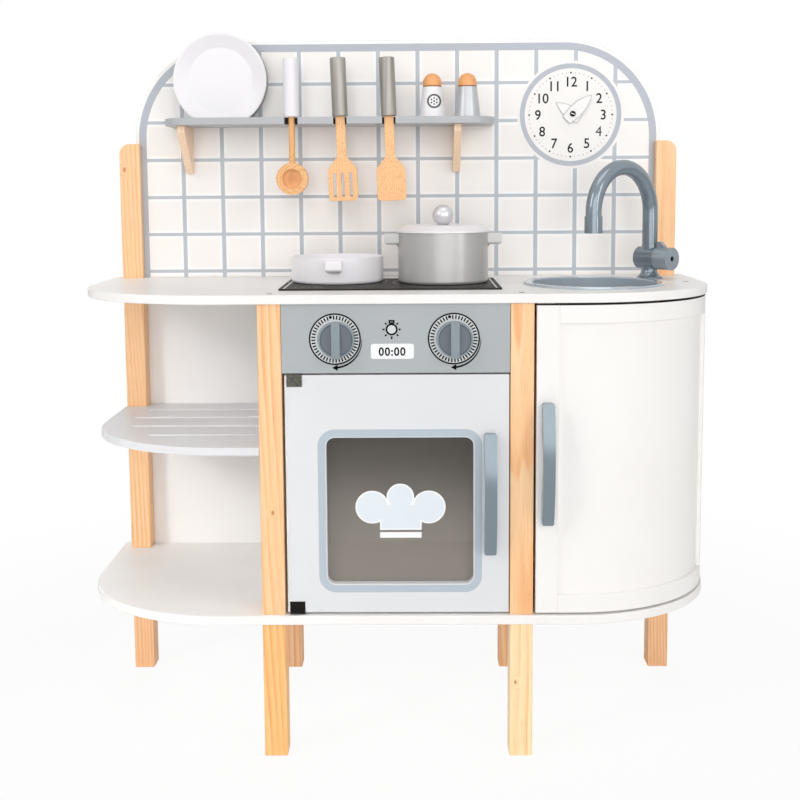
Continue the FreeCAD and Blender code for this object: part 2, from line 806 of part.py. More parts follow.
def lid_knob():
    """Ball with a flat seat and a peg in the lid."""
    centre = V(0, 0, lid_height + lid_knob_radius - lid_knob_sink)
    ball = Part.makeSphere(lid_knob_radius, centre)
    ball = ball.cut(Part.makeCylinder(lid_knob_radius, lid_knob_sink, V(0, 0, lid_height - lid_knob_sink)))
    peg_foot = V(0, 0, lid_height - lid_pin_length)
    return ball.fuse(rod(lid_pin_radius, peg_foot, V(0, 0, lid_height + lid_knob_sink)))


# --------------------------------------------------------------- narrow shelf
plate_sag = plate_radius - plate_sink
plate_slot_half = math.sqrt(plate_radius ** 2 - plate_sag ** 2) + rest_gap
notch_xs = [shelf_left + notch_first + index * notch_pitch for index in range(3)]
notch_y = wall_y - shelf_depth + notch_depth - notch_width / 2


def wall_shelf():
    """Narrow shelf with rounded front corners, two plate slots and three notches."""
    front = wall_y - shelf_depth
    shelf = box(shelf_left, shelf_right, front, wall_y, shelf_bottom, shelf_top)
    corners = [edge for edge in edges_along(shelf, V(0, 0, 1)) if edge.CenterOfMass.y < front + 1]
    shelf = shelf.makeFillet(shelf_corner, corners)
    for from_wall in plate_slots_from_wall:
        y = wall_y - from_wall
        half = plate_slot_width / 2
        shelf = shelf.cut(box(plate_x - plate_slot_half, plate_x + plate_slot_half, y - half, y + half,
                              shelf_bottom, shelf_top))
    for x in notch_xs:
        half = notch_width / 2
        mouth = box(x - half, x + half, front, notch_y, shelf_bottom, shelf_top)
        shelf = shelf.cut(mouth.fuse(rod(half, V(x, notch_y, shelf_bottom), V(x, notch_y, shelf_top))))
    return shelf


def bracket(x):
    """Tapered wooden bracket under the narrow shelf."""
    x0 = x - bracket_thickness / 2
    foot = shelf_bottom - bracket_height
    outline = wire(V(x0, wall_y, shelf_bottom), V(x0, wall_y - bracket_reach, shelf_bottom),
                   V(x0, wall_y - bracket_reach, shelf_bottom - bracket_tip),
                   V(x0, wall_y - bracket_tip, foot), V(x0, wall_y, foot), V(x0, wall_y, shelf_bottom))
    return slab(outline, V(bracket_thickness, 0, 0))


def dinner_plate(from_wall):
    """Shallow dish on edge in its slot, open to the front."""
    lip = plate_radius - plate_skin
    bevel = plate_dish_depth - plate_skin
    outline = wire(V(0, 0, 0), V(plate_flat_radius, 0, 0), V(lip, 0, bevel), V(plate_radius, 0, bevel),
                   V(plate_radius, 0, plate_dish_depth), V(lip, 0, plate_dish_depth),
                   V(plate_flat_radius, 0, plate_skin), V(0, 0, plate_skin), V(0, 0, 0))
    dish = turned(outline)
    dish.rotate(V(0, 0, 0), V(1, 0, 0), 90)
    in_slot = plate_dish_depth - plate_skin
    dish.translate(V(plate_x, wall_y - from_wall + in_slot, shelf_top + plate_sag))
    return dish


# ------------------------------------------------------------------- utensils
def grip(x):
    """Turned handle that stands over a notch."""
    foot = V(x, notch_y, shelf_top + rest_gap)
    body = rod(grip_radius, foot, foot + V(0, 0, grip_length))
    return body.makeFillet(grip_round, [edge for edge in body.Edges if isinstance(edge.Curve, Part.Circle)])


def ladle_blade(x):
    """Round rod and a thick disc with a hollow."""
    centre = V(x, notch_y, shelf_top - ladle_centre_drop)
    top = V(x, notch_y, shelf_top + rest_gap + tang_depth)
    half = V(0, ladle_thickness / 2, 0)
    disc = rod(ladle_radius, centre - half, centre + half)
    shape = disc.fuse(rod(ladle_rod_radius, centre, top))
    return shape.cut(rod(ladle_hollow_radius, centre - half, centre - half + V(0, ladle_hollow_depth, 0)))


def turner_blade(x, slots):
    """Flat blade with sloped shoulders on a long neck; slots is 0 or 3."""
    y0 = notch_y - turner_thickness / 2
    bottom = shelf_top - turner_bottom_drop
    top = bottom + turner_height
    tang_top = shelf_top + rest_gap + tang_depth
    neck = turner_neck / 2
    half = turner_width / 2
    outline = wire(V(x - half, y0, bottom), V(x + half, y0, bottom), V(x + half, y0, top - turner_shoulder),
                   V(x + neck, y0, top), V(x + neck, y0, tang_top), V(x - neck, y0, tang_top),
                   V(x - neck, y0, top), V(x - half, y0, top - turner_shoulder), V(x - half, y0, bottom))
    blade = slab(outline, V(0, turner_thickness, 0))
    corners = [edge for edge in edges_along(blade, V(0, 1, 0)) if abs(edge.CenterOfMass.x - x) > neck + 1]
    blade = blade.makeFillet(turner_round, corners)
    slot_z = bottom + (turner_height - turner_shoulder) / 2
    for index in range(slots):
        slot_x = x + (index - (slots - 1) / 2) * turner_slot_pitch
        half_slot = turner_slot_width / 2
        blade = blade.cut(box(slot_x - half_slot, slot_x + half_slot, y0, y0 + turner_thickness,
                              slot_z - turner_slot_height / 2, slot_z + turner_slot_height / 2))
    return blade


def leaned(shape, x, lean):
    """Turn a utensil in its notch, and lift it so that its grip clears the shelf."""
    shape.rotate(V(x, notch_y, shelf_top), V(0, 1, 0), -lean)
    shape.translate(V(0, 0, grip_radius * math.sin(math.radians(lean))))
    return shape


# -------------------------------------------------------------------- shakers
def shaker_body(x):
    foot = V(x, wall_y - shaker_from_wall, shelf_top + rest_gap)
    return Part.makeCone(shaker_base_radius, shaker_top_radius, shaker_height, foot)


def shaker_cap(x):
    """Domed wooden cap."""
    foot = V(x, wall_y - shaker_from_wall, shelf_top + rest_gap + shaker_height)
    straight = cap_height - cap_radius
    cap = Part.makeCylinder(cap_radius, straight)
    dome = Part.makeSphere(cap_radius, V(0, 0, straight))
    upper = dome.common(Part.makeCylinder(cap_radius, cap_radius, V(0, 0, straight)))
    cap = cap.fuse(upper).removeSplitter()
    cap.translate(foot)
    return cap


# ---------------------------------------------------------------------- clock
def clock_hand(length, shoulder, angle, standoff):
    """Flat leaf-shaped hand with a square-cut tail."""
    y0 = wall_y - standoff - hand_thickness
    half, tail_half = hand_width / 2, hand_tail_width / 2
    point, corner = V(0, y0, length), V(half, y0, shoulder)
    edge = point - corner
    bulge = (corner + point) / 2 + V(edge.z, 0, -edge.x) * hand_bulge
    flank = V(half, y0, (shoulder - hand_tail) / 2)
    outline = wire(V(-tail_half, y0, -hand_tail), V(tail_half, y0, -hand_tail), (flank, corner),
                   (bulge, point), (V(-bulge.x, y0, bulge.z), V(-half, y0, shoulder)),
                   (V(-half, y0, flank.z), V(-tail_half, y0, -hand_tail)))
    bore = rod(clock_pin_radius + pivot_clearance, V(0, y0, 0), V(0, y0 + hand_thickness, 0))
    hand = slab(outline, V(0, hand_thickness, 0)).cut(bore)
    hand.rotate(V(0, 0, 0), V(0, 1, 0), angle)
    hand.translate(V(clock_x, 0, clock_z))
    return hand


def clock_pin():
    """Pin that holds both hands, its head in front of them."""
    head_y = wall_y - 3 * hand_gap - 2 * hand_thickness
    start = V(clock_x, wall_y + panel_thickness, clock_z)
    seat = V(clock_x, head_y, clock_z)
    shaft = rod(clock_pin_radius, start, seat)
    return shaft.fuse(rod(clock_pin_head, seat, seat - V(0, hand_thickness, 0)))


# --------------------------------------------------------------------- screws
def screw(head_face, way, length):
    """Countersunk screw whose flat head is flush with head_face."""
    head = rod(screw_head_radius, head_face, head_face + way * screw_head_depth)
    return head.fuse(rod(screw_radius, head_face, head_face + way * length))


jamb_outer = hinge_point.x + pin_radius
jamb_front = hinge_point.y + door_frame_thickness / 2 + jamb_gap


def all_screws():
    down = V(0, 0, -1)
    forward = V(0, -1, 0)
    post_y = front_post_front + post_size / 2
    screws = [screw(V(side * side_centre, post_y, worktop_z), down, screw_length) for side in (-1, 1)]
    jamb_centre = V(jamb_outer - post_size / 2, jamb_front + post_size / 2, worktop_z)
    screws.append(screw(jamb_centre, down, screw_length))
    for side in (-1, 1):
        for z in (floor_top + side_screw_inset, ceiling - side_screw_inset):
            screws.append(screw(V(side * side_centre, rear_y, z), forward, screw_length))
    for x in bracket_xs:
        for drop, length in ((upper_bracket_screw_drop, upper_bracket_screw),
                             (lower_bracket_screw_drop, lower_bracket_screw)):
            screws.append(screw(V(x, wall_y + panel_thickness, shelf_bottom - drop), forward, length))
    return screws


# ------------------------------------------------------------------- assembly
def build():
    nodes = {}

    screws = all_screws()
    back = splashback()
    pin = clock_pin()
    posts = {side: rear_post(side) for side in (-1, 1)}
    pivots_oven = [oven_pivot_leaf(door_bottom, -1), oven_pivot_leaf(door_top, 1)]
    pivots_cupboard = [cupboard_pivot(cupboard_bottom, -1), cupboard_pivot(cupboard_top, 1)]
    hinge_line = V(hinge_point.x, hinge_point.y, 0)
    bushes = [(oven_pivot, floor_top, -1), (oven_pivot, panel_bottom, 1),
              (hinge_line, floor_top, -1), (hinge_line, ceiling, 1)]
    bush_holes = [bush_hole(*place) for place in bushes]

    # boards, posts and legs
    bowl_hole = rod(sink_hole_radius, sink_centre - V(0, 0, board_thickness), sink_centre)
    nodes["worktop"] = board(ceiling).cut([posts[-1], posts[1], bowl_hole] + screws + bush_holes)
    nodes["bottom_board"] = board(leg_height).cut(bush_holes)
    for side, name in ((-1, "left"), (1, "right")):
        nodes["rear_post_" + name] = posts[side].cut(back)
        outer = side * front_post_outer
        inner = side * front_post_inner
        post = box(min(outer, inner), max(outer, inner), front_post_front, front_post_rear,
                   floor_top, ceiling)
        nodes["front_post_" + name] = post.cut(screws)
        side_x = side * side_centre
        oven_side = box(side_x - side_thickness / 2, side_x + side_thickness / 2,
                        front_post_rear, back_panel_y, floor_top, ceiling)
        nodes["oven_side_" + name] = oven_side.cut(screws)
    nodes["front_legs"] = Part.makeCompound([leg(side * front_post_outer, front_post_front, side)
                                             for side in (-1, 1)])
    nodes["rear_legs"] = Part.makeCompound([leg(side * spread / 2, rear_post_front, side)
                                            for side in (-1, 1)
                                            for spread in (2 * rear_post_outer, inner_leg_spread)])
    nodes["middle_shelf"] = middle_shelf()

    # back panels, clock
    nodes["splashback"] = back.cut(screws + [pin])
    nodes["back_panel"] = box(-rear_post_inner, rear_post_inner, back_panel_y, rear_y,
                              floor_top, ceiling).cut(screws)
    nodes["clock_pin"] = pin
    nodes["clock_hour_hand"] = clock_hand(hour_length, hour_shoulder, hour_angle, hand_gap)
    nodes["clock_minute_hand"] = clock_hand(minute_length, minute_shoulder, minute_angle,
                                            2 * hand_gap + hand_thickness)

    # control panel and knobs
    knob_z = ceiling - knob_drop
    control = box(-front_post_inner, front_post_inner, oven_front, oven_rear, panel_bottom, ceiling)
    for side, name in ((-1, "left"), (1, "right")):
        x = side * knob_spread / 2
        control = control.cut(rod(spindle_radius + pivot_clearance, V(x, oven_front, knob_z),
                                  V(x, oven_rear, knob_z)))
        nodes["knob_" + name] = knob(x, knob_z)
    nodes["control_panel"] = control.cut(bush_holes)

    # oven door
    nodes["oven_door"] = oven_door()
    nodes["oven_window"] = oven_window()
    nodes["oven_handle"] = bow_handle(oven_handle_x, oven_front, oven_handle_z)
    strike_x = door_right - magnet_width
    strike_z = door_top - magnet_height
    strike = box(strike_x - magnet_width / 2, strike_x + magnet_width / 2, oven_rear,
                 oven_rear + strike_thickness, strike_z, door_top)
    nodes["oven_door_plates"] = Part.makeCompound(pivots_oven + [strike])

    # cupboard door
    panel = cupboard_panel()
    outer = door_inset
    inner = door_inset + door_frame_thickness
    left_stile = box(cupboard_left, cupboard_left + stile_width, front_y + outer, front_y + inner,
                     cupboard_bottom, cupboard_top)
    rail_start = cupboard_left + stile_width
    nodes["cupboard_stile_left"] = left_stile.cut(panel)
    nodes["cupboard_stile_right"] = right_stile(cupboard_bottom, cupboard_top).cut([panel] + pivots_cupboard)
    nodes["cupboard_rail_bottom"] = curved_strip(outer, inner, rail_start, stile_edge_angle, cupboard_bottom,
                                                 cupboard_bottom + rail_height).cut(panel)
    nodes["cupboard_rail_top"] = curved_strip(outer, inner, rail_start, stile_edge_angle,
                                              cupboard_top - rail_height, cupboard_top).cut(panel)
    nodes["cupboard_panel"] = panel
    handle_x = cupboard_left + stile_width / 2
    nodes["cupboard_handle"] = bow_handle(handle_x, front_y + outer, cupboard_handle_z)
    cupboard_strike = box(handle_x - magnet_width / 2, handle_x + magnet_width / 2, front_y + inner,
                          front_y + inner + strike_thickness, cupboard_top - magnet_height, cupboard_top)
    nodes["cupboard_door_plates"] = Part.makeCompound(pivots_cupboard + [cupboard_strike])

    # cupboard jamb and side, bushes and magnets of both doors
    jamb = box(jamb_outer - post_size, jamb_outer, jamb_front, jamb_front + post_size, floor_top, ceiling)
    nodes["cupboard_jamb"] = jamb.cut(screws)
    nodes["cupboard_side"] = box(rear_post_outer - side_thickness, rear_post_outer, jamb_front + post_size,
                                 rear_post_front, floor_top, ceiling)
    nodes["pivot_bushes"] = Part.makeCompound([bush(*place) for place in bushes])
    oven_magnet = magnet(strike_x, oven_rear + strike_thickness + magnet_depth, door_top,
                         oven_rear + strike_thickness)
    hanger = box(strike_x - magnet_width / 2, strike_x + magnet_width / 2, oven_rear,
                 oven_rear + strike_thickness + magnet_depth, door_top + door_gap_top,
                 door_top + door_gap_top + magnet_height)
    bridge = box(strike_x - magnet_width / 2, strike_x + magnet_width / 2,
                 oven_rear + strike_thickness + catch_gap, oven_rear + strike_thickness + magnet_depth,
                 door_top, door_top + door_gap_top)
    cupboard_magnet = magnet(handle_x, front_y + inner + strike_thickness + magnet_depth, ceiling,
                             front_y + inner + strike_thickness)
    nodes["door_magnets"] = Part.makeCompound([oven_magnet.fuse([bridge, hanger]), cupboard_magnet])

    # hob, sink and tap
    nodes["hob_plate"] = hob_plate()
    nodes["sink_bowl"] = sink_bowl()
    nodes["tap_base"] = tap_base()
    nodes["tap_barrel"] = barrel()
    nodes["tap_spout"] = tap_spout()
    nodes["tap_lever"] = tap_lever()
    nodes["tap_screw"] = tap_screw()

    # cookware
    hob_top = worktop_z + hob_thickness + rest_gap
    pan = vessel(pan_radius, pan_height, pan_wall, (-90, 90))
    pan.translate(V(pan_x, wall_y - pan_from_splashback, hob_top))
    pot = vessel(pot_radius, pot_height, pot_wall, (0, 180))
    pot_place = V(pot_x, wall_y - pot_from_splashback, hob_top)
    pot.translate(pot_place)
    lid = pot_lid()
    ball = lid_knob()
    for piece in (lid, ball):
        piece.translate(pot_place + V(0, 0, pot_height + rest_gap))
    nodes["pan"] = pan
    nodes["pot"] = pot
    nodes["pot_lid"] = lid
    nodes["lid_knob"] = ball

    # narrow shelf and what is on it
    nodes["wall_shelf"] = wall_shelf()
    nodes["shelf_brackets"] = Part.makeCompound([bracket(x).cut(screws) for x in bracket_xs])
    for name, from_wall in zip(("plate_white", "plate_grey"), plate_slots_from_wall):
        nodes[name] = dinner_plate(from_wall)
    utensils = (("ladle", ladle_blade(notch_xs[0]), 0),
                ("slotted_turner", turner_blade(notch_xs[1], 3), turner_lean),
                ("turner", turner_blade(notch_xs[2], 0), turner_lean))
    for x, (name, blade, lean) in zip(notch_xs, utensils):
        nodes[name + "_grip"] = leaned(grip(x).cut(blade), x, lean)
        nodes[name + "_blade"] = leaned(blade, x, lean)
    for x, name in zip(shaker_xs, ("salt", "pepper")):
        nodes[name + "_body"] = shaker_body(x)
        nodes[name + "_cap"] = shaker_cap(x)

    nodes["assembly_screws"] = Part.makeCompound(screws)
    return nodes


os.makedirs("parts", exist_ok=True)
for node, shape in build().items():
    shape.exportStep("parts/" + node + ".step")
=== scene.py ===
import json
import math

import bpy
from mathutils import Matrix, Vector


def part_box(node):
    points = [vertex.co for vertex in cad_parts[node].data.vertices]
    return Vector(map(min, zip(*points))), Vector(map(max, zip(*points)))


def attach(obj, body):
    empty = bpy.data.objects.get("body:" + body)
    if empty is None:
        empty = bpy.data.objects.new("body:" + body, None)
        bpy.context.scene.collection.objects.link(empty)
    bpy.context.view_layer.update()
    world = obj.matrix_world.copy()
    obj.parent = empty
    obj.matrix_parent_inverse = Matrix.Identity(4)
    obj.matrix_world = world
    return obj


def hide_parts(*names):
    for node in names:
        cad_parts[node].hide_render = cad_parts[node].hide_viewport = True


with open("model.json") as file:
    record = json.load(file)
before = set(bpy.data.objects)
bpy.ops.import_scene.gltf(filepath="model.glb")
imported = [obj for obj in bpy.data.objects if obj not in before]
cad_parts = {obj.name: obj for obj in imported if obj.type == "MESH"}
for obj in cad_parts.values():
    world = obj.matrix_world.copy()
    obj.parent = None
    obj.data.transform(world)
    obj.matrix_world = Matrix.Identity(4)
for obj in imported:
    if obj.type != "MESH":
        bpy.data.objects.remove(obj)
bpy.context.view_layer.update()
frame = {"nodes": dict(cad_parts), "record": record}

# ---------------------------------------------------------------- white boards
# Top board, bottom board, lower back, oven sides and cupboard side. They are fibreboard, sawn
# and routed to shape, eased along their edges, sprayed with white lacquer and screwed together.

MM = 0.001
record = frame["record"]
body_of = {node: body for body, nodes in record["behaviour"]["bodies"].items() for node in nodes}


def srgb(code):
    """Linear colour of a six-digit paint code."""
    shares = [int(code[i:i + 2], 16) / 255 for i in (0, 2, 4)]
    return [c / 12.92 if c <= 0.04045 else ((c + 0.055) / 1.055) ** 2.4 for c in shares] + [1.0]


def add(tree, kind, feeds=None, **settings):
    """A node with its settings. feeds gives an input its value, or the output that drives it,
    and a node there stands for its first output."""
    node = tree.nodes.new("ShaderNode" + kind)
    for name, value in settings.items():
        setattr(node, name, value)
    for socket, value in (feeds or {}).items():
        if isinstance(value, bpy.types.Node):
            value = value.outputs[0]
        if isinstance(value, bpy.types.NodeSocket):
            tree.links.new(value, node.inputs[socket])
        else:
            node.inputs[socket].default_value = value
    return node


def new_finish(name):
    """An empty material, its tree and the place of each point on the kitchen."""
    material = bpy.data.materials.new(name)
    material.use_nodes = True
    material.node_tree.nodes.clear()
    return material, material.node_tree, add(material.node_tree, "TexCoord").outputs["Object"]


def lay_on(tree, **surface):
    """Closes a finish with its shader."""
    feeds = {name.replace("_", " "): value for name, value in surface.items()}
    shader = add(tree, "BsdfPrincipled", feeds)
    add(tree, "OutputMaterial", {"Surface": shader})


def lacquer(name, pale, deep, roughness, shine=0.5):
    """Sprayed lacquer. To the eye: soft broad highlights, a faint drift of tone, smears in the
    polish and an orange peel 1.5 mm across."""
    material, tree, place = new_finish(name)
    drift = add(tree, "TexNoise", {"Vector": place, "Scale": 11.0, "Detail": 3.0})
    tone = add(tree, "MixRGB", {"Fac": drift, "Color1": srgb(pale), "Color2": srgb(deep)})
    smear = add(tree, "TexNoise", {"Vector": place, "Scale": 30.0, "Detail": 1.0})
    gloss = add(tree, "MapRange", {"Value": smear, "From Min": 0.3, "From Max": 0.7,
                                   "To Min": roughness * 0.94, "To Max": roughness * 1.07})
    skin = add(tree, "TexNoise", {"Vector": place, "Scale": 650.0, "Detail": 1.0})
    bump = add(tree, "Bump", {"Height": skin, "Strength": 0.12, "Distance": 0.02 * MM})
    lay_on(tree, Base_Color=tone, Roughness=gloss, Specular_IOR_Level=shine, Normal=bump)
    return material


def pick(*pieces):
    """Selects only these pieces, the first of them active, in object mode."""
    if bpy.context.mode != "OBJECT":
        bpy.ops.object.mode_set(mode="OBJECT")
    bpy.ops.object.select_all(action="DESELECT")
    for piece in pieces:
        piece.select_set(True)
    bpy.context.view_layer.objects.active = pieces[0]
    return pieces[0]


def edit_all(piece):
    """Opens the piece in edit mode with all of it selected."""
    pick(piece)
    bpy.ops.object.mode_set(mode="EDIT")
    bpy.ops.mesh.select_all(action="SELECT")


def dressed(piece, finish, second=None, where=None):
    """Gives the piece its finish, and a second one to the faces that pass the test."""
    piece.data.materials.clear()
    piece.data.materials.append(finish)
    if second:
        piece.data.materials.append(second)
        for face in piece.data.polygons:
            face.material_index = 1 if where(face) else 0
    return piece


def round_edges(piece, edge, clamp):
    """Shades the gentle bends smooth and rounds the edges sharper than 30 degrees by edge mm."""
    sharp = math.radians(30)
    pick(piece)
    bpy.ops.object.shade_smooth_by_angle(angle=sharp)
    bevel = piece.modifiers.new("eased edges", "BEVEL")
    bevel.width = edge * MM
    bevel.segments = 3
    bevel.limit_method = "ANGLE"
    bevel.angle_limit = sharp
    bevel.use_clamp_overlap = clamp
    bevel.harden_normals = True
    bpy.ops.object.modifier_apply(modifier=bevel.name)


def stands_for(piece, node):
    """piece is shown in place of this part, on its body."""
    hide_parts(node)
    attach(piece, body_of[node])


def eased(node, name, edge, finish, second=None, where=None):
    """A board or block as routed: the same shape with its sharp edges rounded by edge mm."""
    piece = frame["nodes"][node].copy()
    piece.data = piece.data.copy()
    piece.name = piece.data.name = name
    bpy.context.scene.collection.objects.link(piece)
    piece.parent = None
    piece.matrix_world = Matrix.Identity(4)
    edit_all(piece)
    bpy.ops.mesh.remove_doubles(threshold=0.002 * MM)
    bpy.ops.mesh.customdata_custom_splitnormals_clear()
    bpy.ops.mesh.dissolve_limited(angle_limit=math.radians(0.4))
    bpy.ops.object.mode_set(mode="OBJECT")
    round_edges(piece, edge, clamp=False)
    low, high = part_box(node)
    for corner in piece.data.vertices:
        corner.co = [min(max(c, a), b) for c, a, b in zip(corner.co, low, high)]
    stands_for(dressed(piece, finish, second, where), node)


white_lacquer = lacquer("white satin lacquer on fibreboard", "FBF9F7", "F4F1EE", 0.32, shine=0.08)
for node, name, edge in (("worktop", "top_board", 1.4), ("bottom_board", "lower_board", 1.4),
                         ("back_panel", "lower_back", 0.4),
                         ("oven_side_left", "left_oven_side", 0.8),
                         ("oven_side_right", "right_oven_side", 0.8),
                         ("cupboard_side", "cupboard_end", 0.8)):
    eased(node, name, edge, white_lacquer)

# ------------------------------------------------------------------ splashback
# One white-lacquered sheet with two round top corners, held in grooves in the rear posts. Its
# tiles are screen-printed: grey-blue joints, a wider band round the edge, and cream tile faces.
# Its back and edges are plain white.


def corners(node):
    """A part's lowest and highest corner, in mm."""
    low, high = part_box(node)
    return low / MM, high / MM


low, high = corners("splashback")
EDGE, TOP = high.x, high.z
FOOT = corners("worktop")[1].z
SUNK = 0.02  # how far the rear of each print lies inside the surface that carries it
FACE = low.y + SUNK
CORNER = 131.0
JOINT_X, JOINT_Z = -293.8, 566.0
PITCH_X, PITCH_Z = 53.69, 50.86
JOINT_WIDTH, BED_WIDTH = 5.5, 4.3
BAND_INSET, BAND_WIDTH = 4.5, 10.0


def printed_tiles(name):
    """Glossy white lacquer with a cream print on each tile, which fades out towards its joints.
    To the eye: calm cream tiles with a paler line along each joint, and orange peel as above."""
    material, tree, place = new_finish(name)
    axes = add(tree, "SeparateXYZ", {"Vector": place})
    ways = []
    for axis, start, pitch in (("X", JOINT_X, PITCH_X), ("Z", JOINT_Z, PITCH_Z)):
        steps = add(tree, "Math", {0: axes.outputs[axis], 1: (start - pitch / 2) * MM},
                    operation="SUBTRACT")
        share = add(tree, "Math", {0: steps, 1: pitch * MM}, operation="DIVIDE")
        part = add(tree, "Math", {0: share}, operation="FRACT")
        off = add(tree, "Math", {0: part, 1: 0.5}, operation="SUBTRACT")
        size = add(tree, "Math", {0: off}, operation="ABSOLUTE")
        ways.append(add(tree, "Math", {0: size, 1: pitch}, operation="MULTIPLY"))
    # The cream sets in between 3.2 and 7.5 mm from the middle of the nearest joint.
    nearest = add(tree, "Math", {0: ways[0], 1: ways[1]}, operation="MINIMUM")
    face = add(tree, "MapRange", {"Value": nearest, "From Min": 3.2, "From Max": 7.5},
               interpolation_type="SMOOTHSTEP")
    drift = add(tree, "TexNoise", {"Vector": place, "Scale": 14.0, "Detail": 3.0})
    cream = add(tree, "MixRGB", {"Fac": drift, "Color1": srgb("F6F3F0"), "Color2": srgb("F2EEEA")})
    tone = add(tree, "MixRGB", {"Fac": face, "Color1": srgb("F9F8F7"), "Color2": cream})
    skin = add(tree, "TexNoise", {"Vector": place, "Scale": 650.0, "Detail": 1.5})
    bump = add(tree, "Bump", {"Height": skin, "Strength": 0.1, "Distance": 0.03 * MM})
    lay_on(tree, Base_Color=tone, Roughness=0.24, Normal=bump)
    return material


def ink(name, code, worn, roughness=0.34, shine=0.5):
    """Screen-printed ink. To the eye: a slightly uneven coat with the 0.4 mm grain of the mesh."""
    material, tree, place = new_finish(name)
    coat = add(tree, "TexNoise", {"Vector": place, "Scale": 60.0, "Detail": 5.0})
    tone = add(tree, "MixRGB", {"Fac": coat, "Color1": srgb(code), "Color2": srgb(worn)})
    grain = add(tree, "TexNoise", {"Vector": place, "Scale": 2500.0})
    bump = add(tree, "Bump", {"Height": grain, "Strength": 0.08, "Distance": 0.02 * MM})
    lay_on(tree, Base_Color=tone, Roughness=roughness, Specular_IOR_Level=shine, Normal=bump)
    return material


def place_here(piece):
    """Puts the piece's place, turn and size into its mesh."""
    pick(piece)
    bpy.ops.object.transform_apply(location=True, rotation=True, scale=True)
    return piece


def draw_out(shape, film):
    """Gives a flat shape that faces the front film mm of thickness, towards the front."""
    edit_all(shape)
    bpy.ops.mesh.extrude_region_move(TRANSFORM_OT_translate={"value": (0, -film * MM, 0)})
    bpy.ops.mesh.select_all(action="SELECT")
    bpy.ops.mesh.normals_make_consistent(inside=False)
    bpy.ops.object.mode_set(mode="OBJECT")
    return shape


def on_part(piece, name, finish, node):
    """Names a print, gives it its ink, and puts it on a part's body."""
    piece.name = piece.data.name = name
    dressed(piece, finish)
    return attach(piece, body_of[node])


def printed(name, shapes, film, finish, node):
    """Joins flat shapes that face the front into one print on a part, film mm thick."""
    piece = pick(*shapes)
    if len(shapes) > 1:
        bpy.ops.object.join()
    draw_out(place_here(piece), film)
    bpy.ops.object.shade_flat()
    return on_part(piece, name, finish, node)


def flat_strip(x0, x1, z0, z1, y):
    """An upright rectangle that faces the front."""
    bpy.ops.mesh.primitive_plane_add(size=MM, rotation=(math.pi / 2, 0, 0),
                                     location=((x0 + x1) / 2 * MM, y * MM, (z0 + z1) / 2 * MM))
    strip = bpy.context.object
    strip.scale = (x1 - x0, z1 - z0, 1)
    return place_here(strip)


def border(shape, width):
    """Leaves only a border of a flat shape, width mm wide."""
    edit_all(shape)
    bpy.ops.mesh.inset(thickness=width * MM)
    bpy.ops.mesh.delete(type="FACE")
    bpy.ops.object.mode_set(mode="OBJECT")
    return shape


def pick_where(piece, test, points=False):
    """Opens the piece in edit mode with the faces, or the points, that pass the test selected."""
    edit_all(piece)
    bpy.ops.mesh.select_mode(type="VERT" if points else "FACE")
    bpy.ops.mesh.select_all(action="DESELECT")
    bpy.ops.object.mode_set(mode="OBJECT")
    for spot in piece.data.vertices if points else piece.data.polygons:
        spot.select = test(spot)
    bpy.ops.object.mode_set(mode="EDIT")


eased("splashback", "splashback_sheet", 1.0,
      printed_tiles("white lacquer with printed tile faces"), white_lacquer,
      lambda face: face.normal.y >= -0.5)
joint_ink = ink("grey-blue joint ink", "B5BBC2", "BDC3C9")
band_ink = ink("pale grey-blue band ink", "B0B5BE", "B8BCC5")


def reach(offset):
    """How far a joint runs past the centre of a round corner, at this offset from it."""
    to_band = CORNER - BAND_INSET - BAND_WIDTH / 2
    return math.sqrt(max(to_band ** 2 - max(offset, 0) ** 2, 0))


uprights = []
for step in range(12):
    x = JOINT_X + step * PITCH_X
    top = TOP - CORNER + reach(abs(x) - (EDGE - CORNER))
    uprights.append(flat_strip(x - JOINT_WIDTH / 2, x + JOINT_WIDTH / 2, FOOT, top, FACE))
printed("upright_tile_joints", uprights, 0.13, joint_ink, "splashback")

courses = []
for step in range(6):
    z = JOINT_Z + step * PITCH_Z
    end = EDGE - CORNER + reach(z - (TOP - CORNER))
    courses.append(flat_strip(-end, end, z - BED_WIDTH / 2, z + BED_WIDTH / 2, FACE))
printed("level_tile_joints", courses, 0.1, joint_ink, "splashback")

band = flat_strip(-EDGE, EDGE, FOOT - 40, TOP, FACE)
pick_where(band, lambda point: point.co.z > (TOP - 1) * MM, points=True)
bpy.ops.mesh.bevel(offset=CORNER * MM, segments=40, affect="VERTICES")
bpy.ops.mesh.select_mode(type="FACE")
bpy.ops.mesh.select_all(action="SELECT")
bpy.ops.mesh.inset(thickness=BAND_INSET * MM)
bpy.ops.mesh.select_all(action="INVERT")
bpy.ops.mesh.delete(type="FACE")
edit_all(border(band, BAND_WIDTH))
bpy.ops.mesh.bisect(plane_co=(0, 0, FOOT * MM), plane_no=(0, 0, 1), clear_inner=True)
bpy.ops.object.mode_set(mode="OBJECT")
printed("splashback_band", [band], 0.15, band_ink, "splashback")

# ------------------------------------------------------------------ clock face
# Printed over the tiles in a second pass: a white disc, a grey-blue ring, twelve numerals, a
# dot at each hour and a finer one at each minute.

pin_low, pin_high = corners("clock_pin")
PIN = (pin_low + pin_high) / 2
DIAL_X, DIAL_Z = PIN.x - 2.5, PIN.z - 1.2
dark_ink = ink("dark grey numeral ink", "121212", "1B1A1A", shine=0.15)
dot_ink = ink("pinkish brown dot ink", "B09A95", "BCA8A3")
disc_ink = ink("white dial ink", "F3F0EE", "EFECE9", 0.3)


